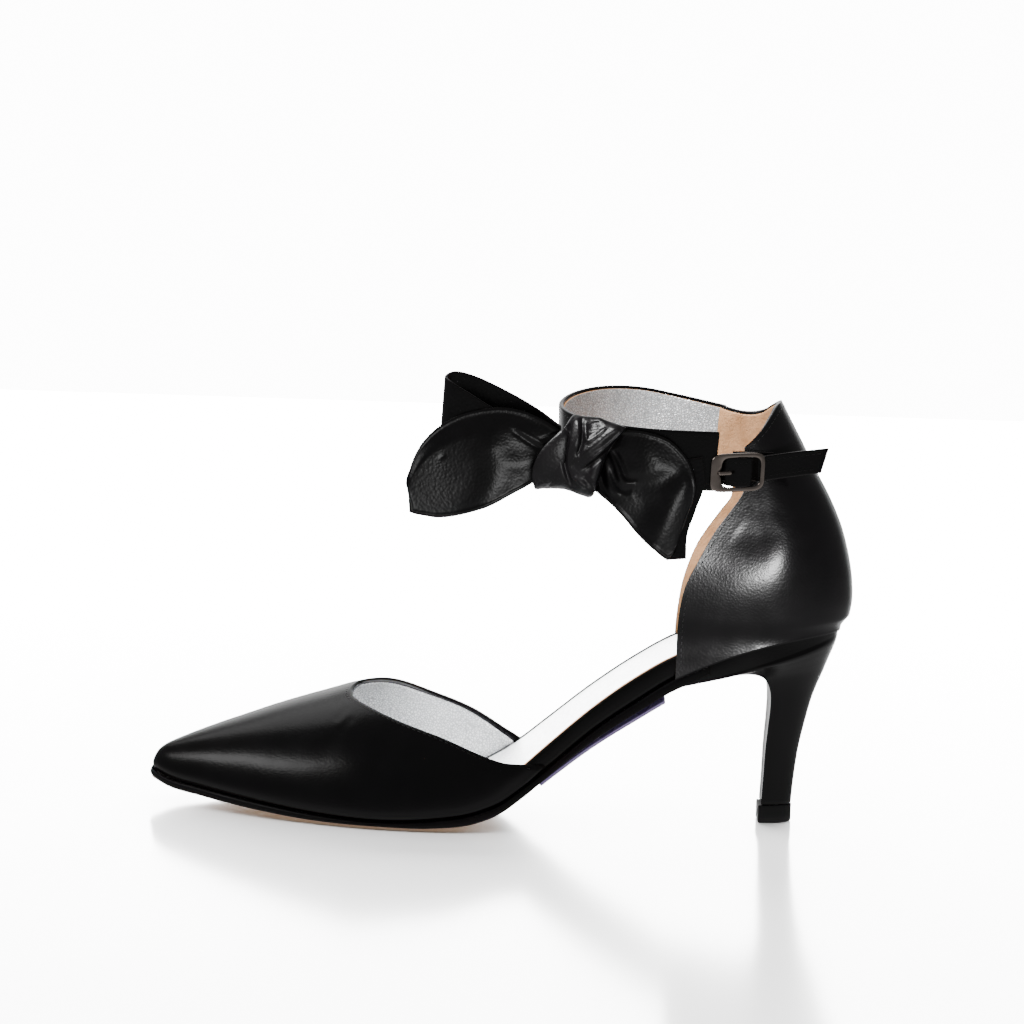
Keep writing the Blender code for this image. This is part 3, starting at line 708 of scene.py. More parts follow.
@dataclass
class Sole:
    """Outsole, guard film, wrapped insole and its sock."""

    last: Last
    end_x: float = 75.0
    ledge: float = 0.4
    inset: float = 2.5
    waist_inset: float = 1.2
    waist_start: float = 2.0
    waist_run: float = 16.0
    crown: float = 1.0
    waist_crown: float = 0.2
    rim: float = 1.1
    flat: float = 0.55
    round: float = 0.6
    steps: int = 7
    film_x: Pair = (17.0, 60.0)
    film_y: Pair = (-21.0, 18.0)
    film_thick: float = 1.2
    film_hang: float = 1.5
    film_curl: float = 3.0
    sock_ends: Pair = (3.0, 1.5)
    sock_inset: float = 3.5
    sock_thick: float = 0.5
    along: int = 150
    across: int = 27
    board_across: int = 21
    below: Point = (20.0, 0.0, -900.0)
    above: Point = (38.0, 0.0, 900.0)

    def slab(self, x: Array, grow: Union[float, Array], across: int,
             low: Callable[[Array, Array], Array],
             high: Callable[[Array, Array], Array]) -> Array:
        """Loops of a sole layer: straight lines across between the two plan edges, at two heights.

        Args:
            x: stations.
            grow: how far the edge stands out from the feather line.
            across: points from side to side.
            low: underside height from place and share across.
            high: upper height from place and share across.
        Returns:
            Loops, top from lateral to medial and back underneath.
        """
        share = np.linspace(0.0, 1.0, across)
        drop = (1 - np.cos(np.linspace(0.0, np.pi, self.steps))) / 2
        edges = [self.last.outline(x, grow - self.round * (1 - np.sqrt(1 - (2 * t - 1) ** 4))) for t in drop]
        lateral, medial = edges[0]
        flat = between(lateral, medial, share)
        top = np.dstack([flat, high(flat[..., 0], share)])
        bottom = np.dstack([flat, low(flat[..., 0], share)])
        walls = []
        for side, at in ((1, -1), (0, 0)):
            plan = np.stack([pair[side] for pair in edges[1:-1]], axis=1)
            fall = top[:, at, 2:] + (bottom[:, at, 2:] - top[:, at, 2:]) * drop[None, 1:-1]
            walls.append(np.dstack([plan, fall]))
        return np.concatenate([top, walls[0], bottom[:, ::-1], walls[1][:, ::-1]], axis=1)

    def tread(self, x: Array, share: Array) -> Array:
        """Underside: the profile line, flat in the middle and rising as a square toward the edges.

        Args:
            x: places along the foot.
            share: places across, from 0 to 1.
        Returns:
            Height at each place.
        """
        reach = np.clip((np.abs(2 * share - 1) - self.flat) / (1 - self.flat), 0, 1)
        waist = ease((x - self.waist_start) / self.waist_run)
        crown = self.crown + (self.waist_crown - self.crown) * waist
        return np.maximum(self.last.level(x, "tread"), 0.0) + crown * reach ** 2

    def build(self, bench: Bench) -> None:
        """Make the layers.

        Args:
            bench: the maker's bench.
        """
        last = self.last
        x = last.stations(last.toe_x, self.end_x, self.along)
        waist = ease((x - self.waist_start) / self.waist_run)
        grow = self.ledge - (self.ledge + self.waist_inset) * waist
        loops = self.slab(x, grow, self.across, self.tread, lambda px, share: last.level(px, "seat"))
        marks = np.zeros((len(x) - 1, loops.shape[1]), dtype=int)
        under = self.across + self.steps - 2
        marks[:, under + 1:under + self.across - 2] = (x[:-1] < self.waist_start)[:, None]
        bench.solid("outsole", loops, (SOLE_EDGE, SOLE_LEATHER), marks, caps=(False, True))

        x = last.stations(last.toe_x, last.heel_x, self.along)
        loops = self.slab(x, -self.inset, self.board_across,
                          lambda px, share: last.level(px, "seat") + last.gap,
                          lambda px, share: last.level(px, "foot") + self.rim * (share == 1.0))
        bench.solid("insole", loops, (NAPPA,))

        x = last.stations(last.toe_x + self.sock_ends[0], last.heel_x - self.sock_ends[1], count=140)
        flat = between(*last.outline(x, -self.sock_inset), np.linspace(0.0, 1.0, 25))
        top = np.dstack([flat, last.level(flat[..., 0], "foot") + self.sock_thick])
        bench.wall("sock", top, self.sock_thick, self.below, (SOCK_FOIL, TAN_LINING, TAN_LINING),
                   round_mm=0.15, slot="insole_wrap")

        px, py = np.meshgrid(np.linspace(*self.film_x, 60), np.linspace(*self.film_y, 24), indexing="ij")
        hang = self.film_hang * np.exp(-((py - self.film_y[0]) / self.film_curl) ** 2)
        face = np.dstack([px, py, last.level(px, "tread") - last.gap - self.film_thick - hang])
        bench.wall("waist_strip", face, self.film_thick, self.above, (FILM,) * 3, round_mm=0.3,
                   slot="waist_film")


@dataclass
class Vamp:
    """Pointed front of the upper with its foil lining and topline seam."""

    last: Last
    wall: float = 1.6
    bulge: float = 1.0
    wing_start: float = 2.0
    wing_run: float = 16.0
    wing_lift: float = 1.6
    lining: float = 0.4
    crowding: float = 1.65
    tuck: float = 0.9
    tuck_high: float = 1.7
    seam_in: float = 2.0
    lining_gap: float = 0.05
    hub: Point = (-60.0, 5.0, 8.0)
    toe_y: float = 8.0
    fold_y: float = 10.0
    fold_fade: float = 8.0
    broad: float = 30.0
    throat: Rows = Rows("angle x", (
        (0.0, 18.5), (9.0, 12.0), (25.0, -5.0), (34.0, -15.6), (48.0, -33.6), (59.0, -44.7), (68.0, -50.4),
        (78.0, -51.9), (90.0, -49.4), (108.0, -39.0), (130.0, -24.5),
        (149.0, -6.0), (171.0, 9.6), (180.0, 13.4)))
    folds: tuple[Fold, ...] = (
        Fold(1.3, -0.12, ((-52.5, 39.1), (-56.9, 34.4))),
        Fold(1.5, -0.14, ((-50.6, 36.4), (-55.9, 30.8))),
        Fold(1.5, -0.1, ((-51.7, 41.8), (-58.8, 38.9))),
        Fold(1.1, 0.08, ((-51.6, 37.7), (-56.3, 32.6))))

    def surface(self, along: int, around: int) -> Array:
        """Outer face: half-ellipse sections from edge to edge over the crown, drawn to a point at the toe.

        Args:
            along: rows from toe to throat.
            around: columns from the lateral to the medial edge.
        Returns:
            Grid of points.
        """
        last = self.last
        share = np.linspace(0.0, 1.0, along) ** self.crowding
        angle = np.linspace(0.0, 180.0, around)
        x = last.toe_x + share[:, None] * (self.throat.at(angle, "x", "angle") - last.toe_x)
        turn = np.radians(angle) + 0 * x
        lift = np.clip((x - self.wing_start) / self.wing_run, 0, 1)
        rim = last.level(x, "seat") + last.gap + self.wing_lift * lift * lift
        middle = last.crown(x, "y")
        side = np.where(turn < np.pi / 2, last.edge(x, "lateral"), last.edge(x, "medial"))
        swell = np.clip(np.abs(side - middle) / self.broad, 0, 1) * self.bulge * np.sin(2 * turn)
        y = middle + (side - middle) * np.abs(np.cos(turn)) - swell
        z = rim + np.maximum(last.crown(x, "z") - rim, 0.0) * np.sin(turn)
        return np.stack([x, y, z], axis=-1)

    def build(self, bench: Bench) -> None:
        """Make the wall, tucked in above the sole, its lining and the seam along the topline.

        Args:
            bench: the maker's bench.
        """
        points = self.surface(along=120, around=150)
        out = normals(points, self.hub)
        out[0] = (-1.0, 0.0, 0.0)
        near = ease((self.fold_y - points[..., 1]) / self.fold_fade)
        edge = np.where(points[..., 1] < self.toe_y, points[:, :1, 2], points[:, -1:, 2])
        tuck = self.tuck * np.exp(-((points[..., 2] - edge) / self.tuck_high) ** 2)
        points = points + out * (relief(points, self.folds) * near - tuck)[..., None]
        bench.wall("vamp", points, self.wall, self.hub, (NAPPA,) * 3)
        face = (points - out * (self.wall + self.lining_gap))[3:-1]
        bench.wall("vamp_lining", face, self.lining, self.hub, (FOIL,) * 3)
        inward = unit(points[-8] - points[-1]) * self.seam_in
        bench.stitches("vamp_topline_seam", (points[-1] + inward)[3:-3], out[-4][3:-3])


@dataclass
class Quarter:
    """Closed heel counter with tan lining and sewn edges."""

    last: Last
    wall: float = 2.0
    axis_y: float = 0.5
    blend: float = 5.0
    sunk: float = 0.25
    lining: float = 0.4
    lining_gap: float = 0.05
    seam_in: float = 2.0
    crowding: float = 1.6
    hub: Point = (90.0, 0.5, 100.0)
    fold_y: float = 5.0
    fold_fade: float = 10.0
    counter: Rows = Rows("z back half_width depth flare lateral_edge medial_edge", (
        (54.0, 121.5, 25.5, 32.0, -0.055, 63.0, 64.2), (62.0, 121.9, 25.5, 32.0, -0.055, 63.0, 64.4),
        (71.1, 122.5, 25.5, 32.0, -0.050, 63.0, 64.9), (74.7, 125.0, 26.2, 32.5, -0.030, 63.1, 65.4),
        (79.0, 126.1, 26.7, 33.0, -0.020, 63.4, 66.0), (88.0, 126.1, 27.2, 33.0, 0.000, 65.3, 68.3),
        (96.3, 124.7, 27.0, 32.0, 0.020, 69.1, 71.6), (108.4, 120.8, 25.8, 29.0, 0.040, 75.6, 79.2),
        (114.5, 117.9, 25.0, 27.5, 0.050, 80.0, 83.2), (121.4, 114.5, 24.0, 25.5, 0.060, 84.4, 82.4),
        (128.9, 110.6, 22.6, 23.0, 0.080, 84.6, 77.4), (138.2, 105.9, 20.8, 20.5, 0.120, 84.5, 77.2),
        (144.9, 102.2, 19.4, 19.0, 0.160, 84.4, 77.6), (152.0, 98.3, 18.0, 17.5, 0.200, 84.4, 78.2)))
    collar: Rows = Rows("share lateral medial", (
        (0.0, 152.0, 152.0), (0.1, 151.6, 150.6), (0.35, 148.6, 147.2), (0.63, 143.9, 146.2),
        (0.85, 139.9, 147.2), (1.0, 137.2, 148.4)))
    folds: tuple[Fold, ...] = (
        Fold(5.0, -0.20, ((82.5, 108.5), (87.5, 105.5), (92.0, 106.5), (97.0, 110.0))),
        Fold(4.0, -0.08, ((88.0, 113.5), (93.0, 114.5), (98.0, 117.0))),
        Fold(13.0, 1.1, ((76.4, 76.1), (85.5, 86.4), (95.3, 95.9), (104.7, 105.4), (112.1, 113.4)), 0.0))

    def surface(self, around: int, up: int) -> Array:
        """Outer face: at each height a half ellipse round the back with straight flanks to the front edges.

        Args:
            around: columns from the lateral to the medial front edge.
            up: rows from the rim to the collar.
        Returns:
            Grid of points, rows upward.
        """
        share = np.sin(np.linspace(-np.pi / 2, np.pi / 2, around))
        forward = np.abs(share) ** self.crowding
        outer = share < 0
        top = self.collar.read(forward, "share")
        collar = np.where(outer, top["lateral"], top["medial"])
        heel = self.last.heel_x
        front = np.where(outer, self.counter.values[0][5], self.counter.values[0][6])
        rim = self.last.level(heel - forward * (heel - front), "seat") - self.sunk
        z = rim + np.linspace(0.0, 1.0, up)[:, None] * (collar - rim)
        read = self.counter.read(z, "z")
        clear = np.clip((z - rim) / self.blend, 0, 1)
        back = read["back"] * clear + heel * (1 - clear)
        x = back - forward * (back - np.where(outer, read["lateral_edge"], read["medial_edge"]))
        reach = np.clip((back - x) / read["depth"], 0, 1)
        half = read["half_width"] * np.sqrt(1 - (1 - reach) ** 2)
        half = half + read["flare"] * np.maximum(back - x - read["depth"], 0)
        return np.stack([x, self.axis_y + np.where(outer, -half, half), z], axis=-1)

    def build(self, bench: Bench) -> None:
        """Make the wall, its lining and its seams.

        Args:
            bench: the maker's bench.
        """
        points = self.surface(around=141, up=130)
        out = normals(points, self.hub)
        near = ease((self.fold_y - points[..., 1]) / self.fold_fade)
        points = points + out * (relief(points, self.folds) * near)[..., None]
        bench.wall("quarter", points, self.wall, self.hub, (NAPPA,) * 3)
        face = (points - out * (self.wall + self.lining_gap))[2:-1]
        bench.wall("quarter_lining", face, self.lining, self.hub, (TAN_LINING,) * 3)
        lines = {"quarter_outer_seam": (points[2:, 0], points[2:, 6], out[2:, 3]),
                 "quarter_inner_seam": (points[2:, -1], points[2:, -7], out[2:, -4]),
                 "quarter_collar_seam": (points[-1, 3:-3], points[-7, 3:-3], out[-4, 3:-3])}
        for name, (rim, inner, up) in lines.items():
            bench.stitches(name, rim + unit(inner - rim) * self.seam_in, up)


@dataclass
class Heel:
    """Slim covered heel and its top lift."""

    last: Last
    turn: float = float(np.radians(4.0))
    axis_x: float = 101.0
    axis_y: float = 0.5
    turned_by: float = 5.0
    lift_z: Series = (6.4, 5.6, 3.0, 0.3, 0.0)
    lift_grow: Series = (0.0, 0.0, 0.0, 0.0, -0.3)
    lift_front: float = 95.3
    lift_back: float = 107.6
    lift_half: float = 6.0
    hollow: float = 0.7
    nose: float = 1.2
    tucked: float = 0.8
    round_at: float = 0.15
    pin_radius: Series = (1.25, 1.25, 0.85, 0.8)
    pin_depth: Series = (0.2, -0.12, -0.12, 0.15)
    pin_side: float = -1.6
    pin_z: float = 3.4
    rows: Rows = Rows("front_x front_z back_x back_z half_width round_at", (
        (66.0, 51.5, 121.7, 70.0, 24.0, 0.40), (79.0, 54.8, 121.4, 67.6, 23.5, 0.33),
        (86.6, 56.2, 120.4, 64.3, 21.2, 0.25), (92.0, 55.6, 118.8, 60.0, 17.8, 0.20),
        (95.5, 53.4, 117.2, 55.5, 14.6, 0.15), (97.4, 49.2, 114.9, 49.6, 11.8, 0.15),
        (97.9, 44.0, 113.2, 44.4, 10.1, 0.15), (97.5, 36.0, 111.2, 36.0, 8.4, 0.15),
        (96.9, 27.0, 109.4, 27.0, 7.1, 0.15), (96.6, 17.0, 108.2, 17.0, 6.2, 0.15),
        (96.2, 6.7, 107.4, 6.7, 5.6, 0.15)))

    def run(self) -> Array:
        """Places from front to back, closer together toward the back."""
        return np.sin(np.linspace(0.0, np.pi / 2, 34))

    def close(self, lateral: Array, medial: Array, hollow: float) -> Array:
        """Loops from two sides, closed at the front by a breast hollowed as a parabola.

        Args:
            lateral: outer sides, loops by points by three, front to back.
            medial: inner sides, in the same way.
            hollow: depth of the breast.
        Returns:
            Loops by points by three.
        """
        share = np.linspace(0.0, 1.0, 15)[1:-1]
        face = medial[:, :1] + (lateral[:, :1] - medial[:, :1]) * share[None, :, None]
        face[..., 0] += hollow * 4 * share * (1 - share)
        return np.concatenate([lateral, medial[:, ::-1], face], axis=1)

    def loops(self, front: Array, back: Array, half_width: Array, round_at: Array,
              turn: Array, hollow: float, nose: Array) -> Array:
        """Heel sections: straight sides, half-ellipse back, and a breast hollowed by a parabola.

        Args:
            front: front point of each section, X and Z.
            back: back point of each section, X and Z.
            half_width: half width at the sides.
            round_at: share of the length where the round back starts.
            turn: how far the section's axis is turned.
            hollow: depth of the breast.
            nose: how far each section narrows at its front.
        Returns:
            Loops by points by three.
        """
        along = self.run()
        bend = np.clip((along - round_at[:, None]) / (1 - round_at[:, None]), 0, 1)
        half = half_width[:, None] * np.sqrt(1 - bend ** 2) - nose[:, None] * (1 - along) ** 4
        x = front[:, :1] + (back - front)[:, :1] * along
        z = front[:, 1:] + (back - front)[:, 1:] * along
        y = self.axis_y + (x - self.axis_x) * np.tan(turn)[:, None]
        return self.close(np.stack([x, y - half, z], axis=-1), np.stack([x, y + half, z], axis=-1), hollow)

    def build(self, bench: Bench) -> None:
        """Make the heel, its top set in under the quarter, and the lift.

        Args:
            bench: the maker's bench.
        """
        at = self.rows.places(90)
        read = self.rows.read(at)
        front = np.stack([read["front_x"], read["front_z"]], axis=-1)
        back = np.stack([read["back_x"], read["back_z"]], axis=-1)
        turn = self.turn * np.clip(at / self.turned_by, 0, 1)
        lower = self.loops(front, back, read["half_width"], read["round_at"], turn, self.hollow,
                           self.nose * ease(1 - at))
        along = self.run()
        lip = self.rows.values[0][0]
        x = lip + (self.last.heel_x - lip) * along
        z = self.last.level(x, "seat")
        slim = self.nose * (1 - along) ** 4
        outer, inner = self.last.outline(x, -self.tucked)
        lateral = np.stack([outer[:, 0], outer[:, 1] + slim, z], axis=-1)
        medial = np.stack([inner[:, 0], inner[:, 1] - slim, z], axis=-1)
        top = self.close(lateral[None], medial[None], 0.0)
        bench.solid("heel", np.concatenate([top, lower]), (NAPPA,), round_mm=0.3)
        self.lift(bench)

    def lift(self, bench: Bench) -> None:
        """Make the wearing block, with the pin hole in its front.

        Args:
            bench: the maker's bench.
        """
        height = np.array(self.lift_z)
        grow = np.array(self.lift_grow)
        front = np.stack([self.lift_front - grow, height], axis=-1)
        back = np.stack([self.lift_back + grow, height], axis=-1)
        flat = 0 * height
        block = self.loops(front, back, self.lift_half + grow, flat + self.round_at, flat + self.turn, 0.0,
                           flat)
        bench.solid("top_lift", block, (RUBBER,), round_mm=0.25)
        turn = circle(20)
        radius = np.array(self.pin_radius)[:, None]
        depth = np.array(self.pin_depth)[:, None]
        ring = np.stack([self.lift_front + depth + 0 * turn,
                         self.axis_y + self.pin_side + radius * np.cos(turn),
                         self.pin_z + radius * np.sin(turn)], axis=-1)
        bench.solid("lift_pin", ring, (RUBBER,))


@dataclass
class Strap:
    """Ankle strap with its lining, tongue, tab and buckle."""

    wall: float = 1.8
    lining: float = 0.45
    lining_in: float = 1.1
    tongue_wall: float = 1.5
    tab_wall: float = 0.9
    seam_in: float = 1.7
    stitch: Point = (2.0, 1.4, 0.17)
    hub: Point = (50.0, 0.0, 138.0)
    far: Point = (88.0, 60.0, 130.0)
    centre: Point = (81.6, -29.8, 129.0)
    wide: float = 19.0
    tall: float = 13.6
    depth: float = 0.85
    plate: float = 4.0
    rail: float = 1.6
    corner: float = 1.3
    hole_corner: float = 0.9
    square: float = 2.0 / 7.0
    section_square: float = 0.6
    notch: float = 1.1
    notch_half: float = 1.1
    notch_from: float = 2.0
    notch_fade: float = 1.5
    bar_x: float = 1.8
    bar_y: float = 1.2
    bar_radius: float = 0.7
    bar_in: float = 0.8
    prong_x: float = -2.0
    prong_y: float = -1.75
    prong_long: float = 4.8
    prong_dip: float = 0.25
    prong_radius: float = 0.62
    prong_taper: float = 0.92
    prong_wide: float = 1.1
    tilt: float = float(np.radians(4.0))
    lean: float = 0.10
    strap: Rows = Rows(EDGES, (
        (80.2, 22.7, 147.8, 79.8, 24.6, 128.8, 0.0), (63.0, 27.4, 150.8, 63.0, 27.6, 131.2, 0.0),
        (48.6, 28.6, 153.0, 48.6, 28.8, 133.2, 0.0), (35.0, 24.6, 153.2, 35.0, 24.8, 133.2, 0.0),
        (24.4, 15.0, 151.6, 24.6, 15.0, 131.6, 0.0), (19.2, 2.6, 149.0, 19.6, 2.6, 129.4, 0.0),
        (21.0, -11.0, 147.0, 21.4, -11.0, 127.2, 0.0), (29.6, -22.0, 145.0, 29.8, -22.0, 124.8, 0.0),
        (42.0, -27.4, 143.8, 42.0, -27.4, 123.2, 0.0), (56.0, -28.5, 143.0, 55.6, -28.5, 122.4, 0.0),
        (75.0, -28.7, 142.8, 73.8, -28.7, 122.0, 0.0)))
    tongue: Rows = Rows(EDGES, (
        (62.0, -25.7, 133.6, 62.0, -25.7, 125.0, 0.0), (68.0, -26.0, 133.8, 68.0, -26.0, 125.2, 0.0),
        (73.0, -26.3, 133.9, 73.0, -26.3, 125.3, 0.0), (76.4, -28.4, 134.0, 76.4, -28.4, 124.4, 0.0),
        (80.2, -30.2, 134.1, 80.2, -30.2, 123.9, 0.0), (83.0, -31.1, 134.1, 83.0, -31.1, 123.9, 0.0),
        (85.4, -30.4, 134.2, 85.4, -30.4, 124.2, 0.0), (88.2, -28.7, 134.5, 88.2, -28.7, 125.8, 0.0),
        (91.0, -28.5, 134.9, 91.0, -28.5, 126.2, 0.0), (101.0, -28.4, 136.6, 100.4, -28.4, 127.8, 0.0),
        (113.2, -28.8, 138.4, 110.8, -28.8, 129.6, 0.0)))
    tab: Rows = Rows(EDGES, (
        (94.6, -22.5, 135.6, 94.6, -22.5, 125.6, 0.0), (90.0, -24.3, 135.9, 90.0, -24.3, 125.4, 0.0),
        (86.6, -26.0, 136.1, 86.6, -26.0, 125.2, 0.0), (83.4, -27.6, 136.2, 83.4, -27.6, 125.0, 0.0),
        (79.8, -27.6, 136.1, 79.8, -27.6, 125.0, 0.0)))

    def seams(self, bench: Bench, name: str, points: Array, inside: Sequence[float]) -> None:
        """Stitch a row along each long edge of a band.

        Args:
            bench: the maker's bench.
            name: start of the seams' names.
            points: outer face of the band.
            inside: a point on its inner side.
        """
        out = normals(points, inside)
        for label, rim, inner in (("top", 0, 3), ("low", -1, -4)):
            path = points[:, rim] + unit(points[:, inner] - points[:, rim]) * self.seam_in
            bench.stitches(f"{name}_{label}_seam", path, out[:, rim], *self.stitch)

    def build(self, bench: Bench) -> None:
        """Make the leather bands, then the buckle.

        Args:
            bench: the maker's bench.
        """
        outer = band(self.strap, along=200, across=22)
        bench.wall("ankle_strap", outer, self.wall, self.hub, (NAPPA,) * 3, round_mm=0.5)
        self.seams(bench, "strap", outer, self.hub)
        inner = outer - normals(outer, self.hub) * self.wall
        down = unit(inner[:, -1] - inner[:, 0])[:, None, :]
        share = np.linspace(1.0, -1.0, inner.shape[1])[None, :, None]
        lining = (inner + down * self.lining_in * share)[1:-3]
        skins = (TAN_LINING, FOIL, TAN_LINING)
        bench.wall("strap_lining", lining, self.lining, self.hub, skins, round_mm=0.1)
        # The cut edges of tongue and tab are pale, partly a painted highlight along the rim
        skins = (NAPPA, NAPPA, PALE_EDGE_AND_HIGHLIGHT)
        tongue = band(self.tongue, along=160, across=16)
        bench.wall("strap_tongue", tongue, self.tongue_wall, self.far, skins, round_mm=0.35)
        self.seams(bench, "tongue", tongue, self.far)
        tab = band(self.tab, along=40, across=12)
        bench.wall("buckle_tab", tab, self.tab_wall, self.far, skins, round_mm=0.25)
        self.buckle(bench)

    def place(self, points: Array) -> Array:
        """Turn buckle points in the plane of the strap and lean them a little.

        Args:
            points: points about the buckle's middle.
        Returns:
            The points at the buckle's place.
        """
        c, s = np.cos(self.tilt), np.sin(self.tilt)
        x, y, z = points[..., 0], points[..., 1], points[..., 2]
        return np.stack([x * c - z * s + self.lean * z, y, x * s + z * c], axis=-1) + np.array(self.centre)

    def loop(self, wide: float, tall: float, corner: float, turn: Array) -> Array:
        """Rounded rectangle: the box's core, as a squared circle, plus a circle of the corner radius.

        Args:
            wide: width of the rectangle.
            tall: its height.
            corner: corner radius.
            turn: angles about its middle.
        Returns:
            One point for each angle.
        """
        c, s = np.cos(turn), np.sin(turn)
        core = np.stack([squared(c, self.square) * (wide / 2 - corner),
                         squared(s, self.square) * (tall / 2 - corner)], axis=-1)
        return core + corner * np.stack([c, s], axis=-1)

    def buckle(self, bench: Bench) -> None:
        """Frame between two rounded rectangles with a flattened oval section, its bar and its prong.

        Args:
            bench: the maker's bench.
        """
        turn = circle(160)
        outer = self.loop(self.wide, self.tall, self.corner, turn)
        inner = self.loop(self.wide - self.plate - self.rail, self.tall - 2 * self.rail, self.hole_corner,
                          turn)
        inner[:, 0] += (self.plate - self.rail) / 2
        left = ease((-inner[:, 0] - self.notch_from) / self.notch_fade)
        inner[:, 0] -= self.notch * np.exp(-(inner[:, 1] / self.notch_half) ** 2) * left
        section = circle(28)
        c = squared(np.cos(section), self.section_square)
        s = squared(np.sin(section), self.section_square)
        flat = ((outer + inner) / 2)[:, None, :] + ((outer - inner) / 2)[:, None, :] * c[None, :, None]
        ring = self.place(np.stack([flat[..., 0], self.depth * s + 0 * flat[..., 0], flat[..., 1]], axis=-1))
        frame = bench.mesh("buckle", np.concatenate([ring, ring[:1]]), True, (GUNMETAL,))
        bench.keep(bench.outward(frame), "buckle")
        around = circle(20)
        half = self.tall / 2 - self.bar_in
        height = np.linspace(-half, half, 12)[:, None]
        bar = np.stack([self.bar_x + self.bar_radius * np.cos(around) + 0 * height,
                        self.bar_y + self.bar_radius * np.sin(around) + 0 * height,
                        height + 0 * around], axis=-1)
        bench.solid("buckle_bar", self.place(bar), (GUNMETAL,))
        run = np.linspace(0.0, 1.0, 24)[:, None]
        girth = self.prong_radius * (1 - self.prong_taper * (2 * run - 1) ** 8) ** 0.5
        prong = np.stack([self.prong_x - self.prong_long * run + 0 * around,
                          self.prong_y + self.prong_dip * run ** 2 + girth * np.sin(around),
                          girth * self.prong_wide * np.cos(around)], axis=-1)
        bench.solid("buckle_prong", self.place(prong), (GUNMETAL,))


